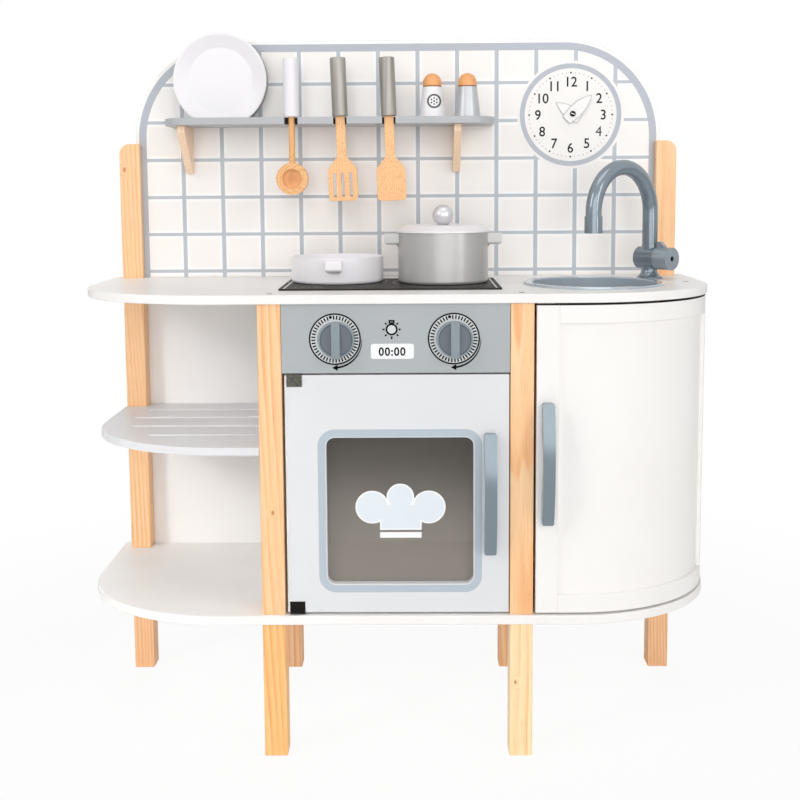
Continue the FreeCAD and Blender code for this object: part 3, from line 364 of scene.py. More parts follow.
def flat_ring(x, z, y, outer, inner, sides=96):
    """An upright ring that faces the front, or a disc where inner is 0."""
    bpy.ops.mesh.primitive_circle_add(vertices=sides, radius=outer * MM, fill_type="NGON",
                                      rotation=(math.pi / 2, 0, 0),
                                      location=(x * MM, y * MM, z * MM))
    ring = place_here(bpy.context.object)
    return border(ring, outer - inner) if inner else ring


printed("clock_dial", [flat_ring(DIAL_X, DIAL_Z, FACE, 72.7, 0, 128)], 0.2, disc_ink, "splashback")
printed("clock_ring", [flat_ring(DIAL_X, DIAL_Z, FACE, 69.0, 62.5, 128)], 0.26, band_ink,
        "splashback")


def written(words, x, z, y, height, stretch=1.0, weight=0.0, apart=1.0):
    """Words as a flat mesh that faces the front, centred on x and z, height mm tall."""
    bpy.ops.object.text_add(rotation=(math.pi / 2, 0, 0))
    text = bpy.context.object
    text.data.body = words
    text.data.align_x = "CENTER"
    text.data.align_y = "CENTER"
    text.data.size = 1.0
    text.data.offset = weight
    text.data.space_character = apart
    text.data.resolution_u = 6
    bpy.ops.object.convert(target="MESH")
    mesh = bpy.context.object
    heights = [corner.co.y for corner in mesh.data.vertices]
    size = height * MM / (max(heights) - min(heights))
    middle = (max(heights) + min(heights)) / 2
    mesh.scale = (size * stretch, size, size)
    mesh.location = (x * MM, y * MM, z * MM - middle * size)
    return place_here(mesh)


NUMERAL_RING, DOT_RING = 44.5, 56.5
NUMERAL_HEIGHT, NUMERAL_WIDTH, NUMERAL_WEIGHT = 13.5, 0.94, 0.012
HOUR_DOT, MINUTE_DOT = 1.25, 0.75


def on_dial(minute, ring):
    """The place on the dial at this minute, ring mm from its centre."""
    turn = math.radians(minute * 6)
    return DIAL_X + ring * math.sin(turn), DIAL_Z + ring * math.cos(turn)


numerals = []
for hour in range(1, 13):
    # A heavier 4 would close its eye.
    numerals.append(written(str(hour), *on_dial(hour * 5, NUMERAL_RING), FACE, NUMERAL_HEIGHT,
                            NUMERAL_WIDTH, 0.0 if hour == 4 else NUMERAL_WEIGHT))
    numerals.append(flat_ring(*on_dial(hour * 5, DOT_RING), FACE, HOUR_DOT, 0, 16))
printed("clock_numerals", numerals, 0.26, dark_ink, "splashback")
minutes = [flat_ring(*on_dial(minute, DOT_RING), FACE, MINUTE_DOT, 0, 10)
           for minute in range(60) if minute % 5]
printed("clock_minute_dots", minutes, 0.26, dot_ink, "splashback")

# -------------------------------------------------------------- posts and legs
# Square sticks of planed pine under a clear matt lacquer, glued and screwed between the boards.
# Straight growth lines 4 to 7 mm apart run up them, and bend round a few small pin knots.

KNOT_TONE = "C98A50"


def timber(name, log, tones, ring=4.6, knots=(), flecks=0.4, roughness=0.42, along="Z",
           dash=28.0, heart_tone=KNOT_TONE, knot_height=0.6):
    """Planed wood. To the eye: growth lines ring mm apart that wander a little, paler clouds, and
    short dark fibres, drawn 0.8 mm wide, coarser than real ones, so that they show. log moves the
    piece about in the tree, so that no two look alike. A knot is its place and size in mm."""
    material, tree, place = new_finish(name)
    turn = {"Z": (0, 0, 0), "X": (0, math.pi / 2, 0)}[along]
    stick = add(tree, "Mapping", {"Vector": place, "Rotation": turn})
    tree_place = add(tree, "Mapping", {"Vector": stick, "Location": log,
                                       "Rotation": (0.012, 0.02, 0.3)})
    slow = add(tree, "Mapping", {"Vector": tree_place, "Scale": (26, 26, 2.4)})
    sway = add(tree, "TexNoise", {"Vector": slow, "Scale": 1.0, "Detail": 2.0})
    axes = add(tree, "SeparateXYZ", {"Vector": tree_place})
    radius = 0.0
    for axis in "XY":
        radius = add(tree, "Math", {0: axes.outputs[axis], 1: axes.outputs[axis], 2: radius},
                     operation="MULTIPLY_ADD")
    radius = add(tree, "Math", {0: radius}, operation="SQRT")
    # The lines wander by up to 16 mm, and are pushed 11 mm aside at a knot.
    radius = add(tree, "Math", {0: sway, 1: 16 * MM, 2: radius}, operation="MULTIPLY_ADD")
    core = 0.0
    for x, y, z, size in knots:
        away = add(tree, "VectorMath", {0: place, 1: (x * MM, y * MM, z * MM)},
                   operation="SUBTRACT")
        away = add(tree, "VectorMath", {0: away, 1: (1.0, 1.0, knot_height)}, operation="MULTIPLY")
        away = add(tree, "VectorMath", {0: away}, operation="LENGTH").outputs["Value"]
        near = add(tree, "MapRange", {"Value": away, "From Max": size * 4 * MM, "To Min": 1.0,
                                      "To Max": 0.0},
                   interpolation_type="SMOOTHERSTEP")
        radius = add(tree, "Math", {0: near, 1: 11 * MM, 2: radius}, operation="MULTIPLY_ADD")
        heart = add(tree, "MapRange", {"Value": away, "From Min": size * 0.55 * MM,
                                       "From Max": size * MM, "To Min": 1.0, "To Max": 0.0})
        core = add(tree, "Math", {0: core, 1: heart}, operation="MAXIMUM")
    count = add(tree, "Math", {0: radius, 1: ring * MM}, operation="DIVIDE")
    year = add(tree, "Math", {0: count}, operation="FRACT")
    ramp = add(tree, "ValToRGB", {"Fac": year})
    pale, mid, late = tones
    ramp.color_ramp.elements[0].color = srgb(pale)
    ramp.color_ramp.elements[1].color = srgb(pale)
    for share, tone in ((0.5, mid), (0.8, late), (0.9, late)):
        ramp.color_ramp.elements.new(share).color = srgb(tone)
    broad = add(tree, "Mapping", {"Vector": tree_place, "Scale": (60, 60, 5)})
    broad = add(tree, "TexNoise", {"Vector": broad, "Scale": 1.0, "Detail": 3.0})
    faded = add(tree, "MapRange", {"Value": broad, "From Min": 0.35, "From Max": 0.65,
                                   "To Min": 0.1, "To Max": 0.75})
    tone = add(tree, "MixRGB", {"Fac": faded, "Color1": ramp, "Color2": srgb(mid)})
    fine = add(tree, "Mapping", {"Vector": stick, "Scale": (1300, 1300, dash)})
    fibre = add(tree, "TexNoise", {"Vector": fine, "Scale": 1.0, "Detail": 3.0})
    dark = add(tree, "MapRange", {"Value": fibre, "From Min": 0.55, "From Max": 0.75,
                                  "To Max": flecks})
    tone = add(tree, "MixRGB", {"Fac": dark, "Color1": tone, "Color2": srgb(KNOT_TONE)},
               blend_type="MULTIPLY")
    if knots:
        tone = add(tree, "MixRGB", {"Fac": core, "Color1": tone, "Color2": srgb(heart_tone)})
    gloss = add(tree, "MapRange", {"Value": year, "To Min": roughness * 1.1,
                                   "To Max": roughness * 0.85})
    relief = add(tree, "Math", {0: fibre, 1: 0.6, 2: year}, operation="MULTIPLY_ADD")
    bump = add(tree, "Bump", {"Height": relief, "Strength": 0.12, "Distance": 0.12 * MM})
    lay_on(tree, Base_Color=tone, Roughness=gloss, Normal=bump)
    return material


PINE = ("FFD9AC", "FCCB98", "F3AE73")
HONEY_PINE = ("FFCF8E", "FDC480", "F0A45C")
PALE_PINE = ("FFEBBF", "FFE2B2", "F6C98C")
RED_PINE = ("FDD3A6", "F7C190", "E3A06E")
STICK_EDGE = 1.2


def stick(node, name, log, tones=PINE, knots=()):
    """A planed stick with a timber of its own."""
    eased(node, name, STICK_EDGE, timber("planed pine, " + name, log, tones, knots=knots))


stick("rear_post_left", "left_rear_post", (0.21, 0.05, 0.0), knots=[(-372, 122, 706, 2.4)])
stick("rear_post_right", "right_rear_post", (-0.44, 0.03, 0.2))
stick("front_post_left", "left_front_post", (0.03, 0.22, 0.4), knots=[(-146, -127, 300, 2.2)])
stick("front_post_right", "right_front_post", (-0.23, 0.21, 0.7))
eased("front_legs", "front_leg_pair", STICK_EDGE,
      timber("planed honey pine, left front leg", (0.08, 0.17, 0.9), HONEY_PINE, ring=6.5),
      timber("planed pale pine, right front leg", (-0.17, 0.12, 0.3), PALE_PINE, ring=6.5,
             knots=[(140, -127, 92, 1.8)]),
      lambda face: face.center.x > 0)
stick("rear_legs", "rear_leg_pair", (0.11, -0.26, 1.1), RED_PINE)
stick("cupboard_jamb", "jamb_stick", (-0.5, 0.06, 1.5))

# --------------------------------------------------------------- middle shelf
# Light grey lacquered fibreboard in the open bay, with one round corner. Four long slots are
# routed through it in a comb. The far wall of each slot is painted white as the light that falls
# on it.

shelf_lacquer = lacquer("light grey satin shelf lacquer", "E4E4E6", "DEDEE0", 0.3, shine=0.1)
slot_wall_light = lacquer("white painted light on the slot walls", "FCFCFC", "F7F7F7", 0.3)
first_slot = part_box("middle_shelf")[0].y + 15 * MM
# The front-facing far walls of the slots take the white: painted light.
eased("middle_shelf", "slotted_shelf", 1.0, shelf_lacquer, slot_wall_light,
      lambda face: face.normal.y < -0.9995 and face.center.y > first_slot)

# --------------------------------------------------------------- control panel
# Grey-lacquered board above the oven door. Two dials, a lamp and a display are screen-printed on
# it, and a moulded knob turns on a spindle in the middle of each dial. Its right end is painted
# dark as the shade in the gap beside the post.

panel_lacquer = lacquer("cool grey satin lacquer", "B0B5B8", "ABB0B3", 0.3)
# Painted shade: dark paint on edge faces that sit in narrow gaps.
gap_shade_edge = lacquer("dark painted shade on edges in gaps", "2A2725", "211E1D", 0.45)
eased("control_panel", "control_board", 0.9, panel_lacquer, gap_shade_edge,
      lambda face: face.normal.x > 0.3)
low, high = corners("control_panel")
PANEL_FRONT, PANEL_REAR = low.y, high.y
PANEL_FACE = PANEL_FRONT + SUNK
black_ink = ink("black panel ink", "0C0D0E", "151617", 0.4, shine=0.1)
light_ink = ink("light grey panel ink", "D6D9DA", "CFD2D3", 0.3)
label_ink = ink("white display ink", "F7F8F9", "F2F3F4", 0.26)
DIAL_LEVEL = 505.5
DIAL_RADIUS, DIAL_LINE, DIAL_BAND_OUTER, DIAL_BAND_INNER = 29.3, 1.8, 28.2, 20.5
TICKS, TICK_WIDTH, TICK_NEAR, TICK_FAR = 44, 1.7, 22.9, 27.5
MARKER_RADIUS, MARKER_OUT, MARKER_LEAN = 1.9, 26.0, math.radians(-10.9)
ARROW_RADIUS, ARROW_WIDTH, ARROW_SWELL, ARROW_ASIDE, ARROW_DROP = 31.8, 0.8, 1.5, 0.9, 0.5
HEAD_RADIUS, HEAD_ASIDE, HEAD_DROP = 4.2, 0.7, 33.5


def turned(turn, x, z):
    """Turns what is selected round an upright centre."""
    bpy.ops.transform.rotate(value=turn, orient_axis="Y", center_override=(x * MM, 0, z * MM))


def tapered_arrow(x, z, y):
    """A quarter ring that swells from a point at three o'clock, and its head at six o'clock."""
    sweep = flat_ring(x, z, y, ARROW_RADIUS + ARROW_WIDTH, ARROW_RADIUS)
    centre = Vector((x, y, z)) * MM
    # Its outer edge is let down, so that it swells towards its foot.
    pick_where(sweep, lambda point: (point.co - centre).length > (ARROW_RADIUS + 0.3) * MM,
               points=True)
    bpy.ops.transform.translate(value=(-0.2 * MM, 0, -ARROW_SWELL * MM))
    for way in ((1, 0, 0), (0, 0, -1)):
        bpy.ops.mesh.select_all(action="SELECT")
        bpy.ops.mesh.bisect(plane_co=centre, plane_no=way, clear_inner=True)
    bpy.ops.mesh.select_all(action="SELECT")
    bpy.ops.transform.translate(value=(-ARROW_ASIDE * MM, 0, -ARROW_DROP * MM))
    bpy.ops.object.mode_set(mode="OBJECT")
    bpy.ops.mesh.primitive_circle_add(vertices=3, radius=HEAD_RADIUS * MM, fill_type="NGON",
                                      rotation=(math.pi / 2, -math.pi / 2, 0),
                                      location=((x + HEAD_ASIDE) * MM, y * MM,
                                                (z - HEAD_DROP) * MM))
    return [sweep, place_here(bpy.context.object)]


def rounded_sheet(x0, x1, z0, z1, y, radius):
    """An upright rectangle with four round corners."""
    sheet = flat_strip(x0, x1, z0, z1, y)
    edit_all(sheet)
    bpy.ops.mesh.bevel(offset=radius * MM, segments=12, affect="VERTICES")
    bpy.ops.object.mode_set(mode="OBJECT")
    return sheet


for side, dial_x in (("left", -70.3), ("right", 67.4)):
    ring = flat_ring(dial_x, DIAL_LEVEL, PANEL_FACE, DIAL_BAND_OUTER, DIAL_BAND_INNER)
    printed(side + "_dial_band", [ring], 0.08, light_ink, "control_panel")
    spot = Vector((dial_x + MARKER_OUT * math.sin(MARKER_LEAN), PANEL_FACE,
                   DIAL_LEVEL + MARKER_OUT * math.cos(MARKER_LEAN)))
    marker = flat_ring(spot.x, spot.z, PANEL_FACE, MARKER_RADIUS, 0, 20)
    ticks = flat_strip(dial_x - TICK_WIDTH / 2, dial_x + TICK_WIDTH / 2, DIAL_LEVEL + TICK_NEAR,
                       DIAL_LEVEL + TICK_FAR, PANEL_FACE)
    edit_all(ticks)
    turned(-MARKER_LEAN, dial_x, DIAL_LEVEL)
    for _ in range(TICKS - 1):
        bpy.ops.mesh.duplicate()
        turned(2 * math.pi / TICKS, dial_x, DIAL_LEVEL)
    # The marker takes the place of the tick under it.
    pick_where(ticks, lambda face: (face.center - spot * MM).length < 2 * MM)
    bpy.ops.mesh.delete(type="FACE")
    bpy.ops.object.mode_set(mode="OBJECT")
    outline = flat_ring(dial_x, DIAL_LEVEL, PANEL_FACE, DIAL_RADIUS + DIAL_LINE / 2,
                        DIAL_RADIUS - DIAL_LINE / 2)
    arrow = tapered_arrow(dial_x, DIAL_LEVEL, PANEL_FACE)
    printed(side + "_dial_print", [ticks, marker, outline, *arrow], 0.12, black_ink,
            "control_panel")

LAMP_X, LAMP_Z = -4.5, 516.6
printed("lamp_glass_print", [flat_ring(LAMP_X, LAMP_Z, PANEL_FACE, 6.0, 0, 40)], 0.08, light_ink,
        "control_panel")
lamp = [flat_ring(LAMP_X, LAMP_Z, PANEL_FACE, 7.0, 4.9, 48)]
# Its cap: how far each stroke reaches to the left and right of the bulb's middle, and above it.
for left, right, low, high in ((-3.4, 3.4, 6.8, 8.4), (-3.4, 3.4, 9.0, 11.0),
                               (-3.5, -1.9, 7.0, 10.3), (1.9, 3.5, 7.0, 10.3)):
    lamp.append(flat_strip(LAMP_X + left, LAMP_X + right, LAMP_Z + low, LAMP_Z + high, PANEL_FACE))
# Its rays: the turn of each in degrees, and how far out it starts and ends.
for turn, near, far in ((0, 8.0, 10.6), (45, 8.0, 10.6), (135, 8.2, 10.8), (180, 8.0, 10.6),
                        (225, 8.2, 10.8), (270, 8.0, 11.2), (315, 8.2, 10.8)):
    lamp.append(flat_strip(LAMP_X + near, LAMP_X + far, LAMP_Z - 0.95, LAMP_Z + 0.95, PANEL_FACE))
    turned(math.radians(turn), LAMP_X, LAMP_Z)
printed("lamp_print", lamp, 0.12, black_ink, "control_panel")
LABEL_LEFT, LABEL_RIGHT, LABEL_FOOT, LABEL_TOP, LABEL_CORNER = -28.8, 21.1, 482.2, 499.9, 3.0
label = rounded_sheet(LABEL_LEFT, LABEL_RIGHT, LABEL_FOOT, LABEL_TOP, PANEL_FACE, LABEL_CORNER)
printed("display_label", [label], 0.08, label_ink, "control_panel")
figures = written("00:00", -4.2, 490.7, PANEL_FACE, 10.2, stretch=0.92, weight=0.026, apart=1.14)
printed("display_figures", [figures], 0.14, black_ink, "control_panel")

# ----------------------------------------------------------------------- knobs
# Each is moulded in one piece from slate-grey ABS: a dished disc, a grip across its face and a
# spindle behind, which turns in a hole in the control panel. The grip and the rim are painted a
# lighter slate as a highlight.


def moulded(name, code, flow, roughness, flake=0.0):
    """Moulded plastic. To the eye: clean colour, crisp highlights, faint flow marks, and a satin
    skin drawn 0.7 mm across, coarser than the real one, so that it shows. flake is the share of
    metal flake in it."""
    material, tree, place = new_finish(name)
    marks = add(tree, "TexNoise", {"Vector": place, "Scale": 35.0, "Detail": 3.0,
                                   "Distortion": 0.6})
    tone = add(tree, "MixRGB", {"Fac": marks, "Color1": srgb(code), "Color2": srgb(flow)})
    smear = add(tree, "TexNoise", {"Vector": place, "Scale": 90.0, "Detail": 3.0})
    gloss = add(tree, "MapRange", {"Value": smear, "From Min": 0.3, "From Max": 0.7,
                                   "To Min": roughness * 0.85, "To Max": roughness * 1.2})
    skin = add(tree, "TexNoise", {"Vector": place, "Scale": 1400.0, "Detail": 2.0})
    bump = add(tree, "Bump", {"Height": skin, "Strength": 0.1, "Distance": 0.1 * MM})
    surface = {"Metallic": flake} if flake else {"IOR": 1.53}
    lay_on(tree, Base_Color=tone, Roughness=gloss, Normal=bump, **surface)
    return material


slate = moulded("slate-grey knob ABS", "6F7980", "69737A", 0.22)
# Painted highlight: the lighter slate that the grip and the rim of each knob get.
highlight_slate = moulded("slate knob ABS painted lighter as highlight", "8B969C", "848F95", 0.22, flake=0.3)
KNOB_RADIUS, KNOB_RIM, KNOB_DISH = 21.0, 2.0, 1.4
GRIP_WIDTH, GRIP_TOP_WIDTH, SPINDLE_RADIUS = 11.5, 9.6, 4.0
GRIP_REACH = 24.0
DIMPLE_RADIUS, DIMPLE_DEPTH, DIMPLE_OUT = 1.5, 0.9, 15.5
DISC_FACE = PANEL_FRONT - 6.5
KNOB_FACE = corners("knob_left")[0].y


def rod(x, z, y0, y1, radius, sides=96):
    """A round rod from y0 to y1, along the way from front to rear."""
    bpy.ops.mesh.primitive_cylinder_add(vertices=sides, radius=radius * MM,
                                        depth=abs(y1 - y0) * MM, rotation=(math.pi / 2, 0, 0),
                                        location=(x * MM, (y0 + y1) / 2 * MM, z * MM))
    return place_here(bpy.context.object)


def block(x0, x1, y0, y1, z0, z1):
    """A square block between these places."""
    bpy.ops.mesh.primitive_cube_add(size=MM, location=((x0 + x1) / 2 * MM, (y0 + y1) / 2 * MM,
                                                       (z0 + z1) / 2 * MM))
    piece = bpy.context.object
    piece.scale = (x1 - x0, y1 - y0, z1 - z0)
    return place_here(piece)


def combined(first, how, *others):
    """UNION, DIFFERENCE or INTERSECT of the first piece with each of the others in turn."""
    for other in others:
        pick(first)
        step = first.modifiers.new("step", "BOOLEAN")
        step.operation = how
        step.object = other
        bpy.ops.object.modifier_apply(modifier=step.name)
        bpy.data.objects.remove(other)
    return first


def rounded_off(piece, name, edge, finish, second=None, where=None):
    """Rounds the sharp edges of a new piece and gives it its finish."""
    piece.name = piece.data.name = name
    round_edges(piece, edge, clamp=True)
    return dressed(piece, finish, second, where)


def moulded_knob(node, name):
    """A dished disc with a raised rim, a tapered grip across it and a spindle behind."""
    low, high = corners(node)
    x, z = (low.x + high.x) / 2, (low.z + high.z) / 2
    disc = rod(x, z, PANEL_FRONT - 0.5, DISC_FACE, KNOB_RADIUS)
    pick_where(disc, lambda face: face.normal.y < -0.9)
    bpy.ops.mesh.inset(thickness=KNOB_RIM * MM)
    bpy.ops.mesh.inset(thickness=0.8 * MM, depth=-KNOB_DISH * MM)
    bpy.ops.object.mode_set(mode="OBJECT")
    half = GRIP_WIDTH / 2
    grip = block(x - half, x + half, KNOB_FACE, DISC_FACE + 3.5, z - GRIP_REACH, z + GRIP_REACH)
    pick_where(grip, lambda face: face.normal.y < -0.9)
    bpy.ops.transform.resize(value=(GRIP_TOP_WIDTH / GRIP_WIDTH, 1, 1),
                             center_override=(x * MM, 0, z * MM))
    bpy.ops.object.mode_set(mode="OBJECT")
    combined(grip, "INTERSECT", rod(x, z, KNOB_FACE - 1, DISC_FACE + 5, KNOB_RADIUS - 0.5))
    combined(disc, "UNION", grip, rod(x, z, PANEL_FRONT - 1, PANEL_REAR, SPINDLE_RADIUS, 32))
    combined(disc, "DIFFERENCE", rod(x, z + DIMPLE_OUT, KNOB_FACE - 1, KNOB_FACE + DIMPLE_DEPTH,
                                     DIMPLE_RADIUS, 24))

    def on_grip_or_rim(face):
        out = math.hypot(face.center.x - x * MM, face.center.z - z * MM) / MM
        on_rim = face.center.y < (DISC_FACE + 0.4) * MM and out > KNOB_RADIUS - KNOB_RIM - 0.3
        return face.center.y < (DISC_FACE - 0.2) * MM or on_rim

    stands_for(rounded_off(disc, name, 0.45, slate, highlight_slate, on_grip_or_rim), node)


moulded_knob("knob_left", "left_knob")
moulded_knob("knob_right", "right_knob")

# ------------------------------------------------------------------- oven door
# Pale grey fibreboard door on two pivot pins, with a tinted acrylic window let in from behind.
# A blue-grey band is printed round the opening and a plain cook's hat on the window.


def kept(finish, *nodes):
    """Parts shown as they are, with this finish."""
    for node in nodes:
        dressed(frame["nodes"][node], finish)


def tinted(name, code, deep, clear, dense, low, high):
    """Cast acrylic. To the eye: a glossy pane, part see-through, with broad wiping smears. From
    the height low to the height high, in mm, it is painted darker and less clear: painted shade of
    the dim upper inside of the oven."""
    material, tree, place = new_finish(name)
    wipe = add(tree, "TexNoise", {"Vector": place, "Scale": 14.0, "Detail": 2.0})
    level = add(tree, "SeparateXYZ", {"Vector": place}).outputs["Z"]
    level = add(tree, "Math", {0: wipe, 1: 0.04, 2: level}, operation="MULTIPLY_ADD")
    painted_shade_rise = add(tree, "MapRange", {"Value": level, "From Min": low * MM, "From Max": high * MM},
               interpolation_type="SMOOTHSTEP")
    tone = add(tree, "MixRGB", {"Fac": painted_shade_rise, "Color1": srgb(code), "Color2": srgb(deep)})
    gloss = add(tree, "MapRange", {"Value": wipe, "To Min": 0.08, "To Max": 0.13})
    cover = add(tree, "MapRange", {"Value": painted_shade_rise, "To Min": clear, "To Max": dense})
    lay_on(tree, Base_Color=tone, Roughness=gloss, IOR=1.49, Alpha=cover)
    return material


door_lacquer = lacquer("pale grey satin lacquer", "E4E5E7", "E0E1E3", 0.3)
eased("oven_door", "oven_door_board", 0.9, door_lacquer)
# The pane is painted darker and less clear towards its top: painted shade of the oven's inside.
kept(tinted("grey-brown tinted acrylic with painted shade at the top", "BDB3A9", "4A433A", 0.27, 0.34, 240.0, 410.0),
     "oven_window")

DOOR_FACE = corners("oven_door")[0].y + SUNK
PANE_FACE = corners("oven_window")[0].y + SUNK
window_ink = ink("soft blue-grey window ink", "B4C0CA", "B9C4CD")
BAND_LEFT, BAND_RIGHT, BAND_FOOT, BAND_TOP, BAND = -92.25, 100.25, 202.9, 399.1, 8.8
window_edge = rounded_sheet(BAND_LEFT, BAND_RIGHT, BAND_FOOT, BAND_TOP, DOOR_FACE, 20.0)
printed("window_band", [border(window_edge, BAND)], 0.12, window_ink, "oven_door")

hat_white = ink("white hat ink", "FBFCFD", "F6F8F9", 0.3)
hat_blue = ink("ice-blue hat ink", "E4EBF0", "E0E8EE", 0.3)
LOBES = ((-29.2, 303.2, 19.9), (4.2, 315.3, 16.3), (37.8, 303.2, 19.9))
HAT_LEFT, HAT_RIGHT, HAT_FOOT, HAT_HEART, HAT_LINE = -20.2, 29.1, 275.5, 306.0, 1.7
for name, shrink, film, finish in (("hat_outline", 0.0, 0.1, hat_white),
                                   ("hat_fill", HAT_LINE, 0.17, hat_blue)):
    lobes = [draw_out(flat_ring(x, z, PANE_FACE, radius - shrink, 0, 64), film)
             for x, z, radius in LOBES]
    crown = draw_out(flat_strip(HAT_LEFT + shrink, HAT_RIGHT - shrink, HAT_FOOT + shrink,
                                HAT_HEART, PANE_FACE), film)
    on_part(combined(crown, "UNION", *lobes), name, finish, "oven_window")
printed("hat_brim", [flat_strip(HAT_LEFT, HAT_RIGHT, 265.9, 272.7, PANE_FACE)], 0.1, hat_white,
        "oven_window")

handle_slate = moulded("slate-grey handle ABS", "84919A", "7D8A92", 0.2, flake=0.3)
kept(handle_slate, "oven_handle")


def plated(name, code, spot):
    """Plated steel. To the eye: a dull metal sheen over cloudy crystals 1 mm across."""
    material, tree, place = new_finish(name)
    grains = add(tree, "TexVoronoi", {"Vector": place, "Scale": 900.0}).outputs["Color"]
    share = add(tree, "SeparateXYZ", {"Vector": grains}).outputs["X"]
    tone = add(tree, "MixRGB", {"Fac": share, "Color1": srgb(code), "Color2": srgb(spot)})
    gloss = add(tree, "MapRange", {"Value": share, "To Min": 0.336, "To Max": 0.546})
    lay_on(tree, Base_Color=tone, Metallic=1.0, Roughness=gloss)
    return material


zinc = plated("zinc-plated steel", "42423C", "6C6C64")
blackened = plated("blackened steel", "1E1C1A", "2E2C2A")
eased("oven_door_plates", "oven_pivot_plates", 0.25, zinc, blackened,
      lambda face: face.center.z < 320 * MM)
kept(moulded("natural nylon", "E4E1D8", "DEDBD2", 0.4), "pivot_bushes")
kept(moulded("white catch housing", "E9E8E5", "E3E2DF", 0.45), "door_magnets")

# --------------------------------------------------------------- cupboard door
# A bent door: two stiles and two curved rails of lacquered fibreboard round a thin curved board
# that sits in their grooves. It turns on pins in its right stile. Its top edge is painted dark as
# the shade in the gap under the top board.

# The top faces of the rails take the dark paint: painted shade in the gap under the top board.
DOOR_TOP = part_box("cupboard_rail_top")[1].z - 2 * MM
for node, name, edge in (("cupboard_stile_left", "cupboard_left_stile", 0.9),
                         ("cupboard_stile_right", "cupboard_right_stile", 0.7),
                         ("cupboard_rail_top", "cupboard_upper_rail", 0.9),
                         ("cupboard_rail_bottom", "cupboard_lower_rail", 0.9)):
    eased(node, name, edge, white_lacquer, gap_shade_edge,
          lambda face: face.normal.z > 0.9 and face.center.z > DOOR_TOP)
eased("cupboard_panel", "cupboard_curved_board", 0.2, white_lacquer)
kept(handle_slate, "cupboard_handle")
eased("cupboard_door_plates", "cupboard_pivot_plates", 0.2, zinc)

# ------------------------------------------------------------------ hob plate
# A thin black film on the top board, printed with a white line along its edge, two rings where
# the pans stand and two rows of grey dashes. To the eye it is a soft black with a faint grit,
# drawn 1.4 mm across, coarser than the real one, so that it shows.

hob_film, tree, place = new_finish("black printed hob film")
grit = add(tree, "TexNoise", {"Vector": place, "Scale": 700.0, "Detail": 2.0})
film = add(tree, "MixRGB", {"Fac": grit, "Color1": srgb("1E1C1A"), "Color2": srgb("3A3634")})
lay_on(tree, Base_Color=film, Roughness=0.5, Specular_IOR_Level=0.12)
kept(hob_film, "hob_plate")
line_ink = ink("white hob ink", "EDEDEB", "E2E2E0", 0.3)
ring_ink = ink("grey hob ink", "8A8885", "7D7B78", 0.4)
LINE_INSET, LINE_WIDTH = 5.2, 1.7
DASH_PITCH, LONG_DASH, SHORT_DASH, DASH_WIDTH = 8.0, 5.2, 2.6, 2.6
BURNER_OUTER, BURNER_INNER = 64.0, 62.9
low, high = corners("hob_plate")
HOB_TOP = -(high.z + 0.02)  # laid down, a print at this place lies on the hob


def laid_flat(piece):
    """Lays an upright print down: what faced the front then faces up."""
    pick(piece)
    piece.rotation_euler = (-math.pi / 2, 0, 0)
    return place_here(piece)


x0, x1, y0, y1 = low.x + LINE_INSET, high.x - LINE_INSET, low.y + LINE_INSET, high.y - LINE_INSET
hob_line = [flat_strip(x0, x1, y1 - LINE_WIDTH, y1, HOB_TOP),
            flat_strip(x0, x0 + LINE_WIDTH, y0, y1, HOB_TOP),
            flat_strip(x1 - LINE_WIDTH, x1, y0, y1, HOB_TOP)]
laid_flat(printed("hob_line", hob_line, 0.1, line_ink, "hob_plate"))
marks = []
for start, level, count in ((-124.0, -56.0, 5), (86.0, -45.0, 4)):
    for step in range(count):
        x = start + step * DASH_PITCH
        dash = LONG_DASH if step % 2 else SHORT_DASH
        marks.append(flat_strip(x, x + dash, level, level + DASH_WIDTH, HOB_TOP))
for x, y in ((-76.6, 28.25), (59.0, 11.25)):
    marks.append(flat_ring(x, y, HOB_TOP, BURNER_OUTER, BURNER_INNER))
laid_flat(printed("hob_burner_marks", marks, 0.08, ring_ink, "hob_plate"))

# ------------------------------------------------------------------------ sink
# A round bowl with a raised rim, moulded in one piece from slate-grey ABS. It is dropped through
# a hole in the top board and hangs there by its rim.

kept(moulded("slate-grey bowl ABS", "B7C0C7", "B0B9C0", 0.16, flake=0.3), "sink_bowl")

# ------------------------------------------------------------------------- tap
# Moulded from slate ABS: a flared foot, a barrel with a collar, a swan-neck pipe that turns in
# the collar, and the turning end of the barrel with a fin and a cross-head screw.

kept(moulded("slate-grey tap ABS", "86919A", "7F8A93", 0.11, flake=0.35),
     "tap_base", "tap_barrel", "tap_spout")
kept(moulded("lighter slate tap end ABS", "A1ACB3", "9AA5AC", 0.2, flake=0.35), "tap_lever")
kept(blackened, "tap_screw")

# ------------------------------------------------------------------- cookware
# The pan, the pot and its lid are turned from close-grained wood and painted; each ear is glued
# on. The ball on the lid is held by a peg.


def satin_metal(name, code, deep, roughness, along=False):
    """Satin metallic paint. To the eye: a soft grey sheen with broad clouds, or with streaks down
    the grip where along is set, drawn 2.4 mm wide. The streaks are partly brush marks, drawn
    coarser than real ones so that they show, and partly painted highlights and dark reflections."""
    material, tree, place = new_finish(name)
    stretch = (420.0, 420.0, 9.0) if along else (22.0, 22.0, 60.0)
    strokes = add(tree, "Mapping", {"Vector": place, "Scale": stretch})
    drift = add(tree, "TexNoise", {"Vector": strokes, "Scale": 1.0, "Detail": 2.0})
    tone = add(tree, "MixRGB", {"Fac": drift, "Color1": srgb(code), "Color2": srgb(deep)})
    gloss = add(tree, "MapRange", {"Value": drift, "To Min": roughness * 0.85,
                                   "To Max": roughness * 1.15})
    lay_on(tree, Base_Color=tone, Metallic=0.35, Roughness=gloss)
    return material


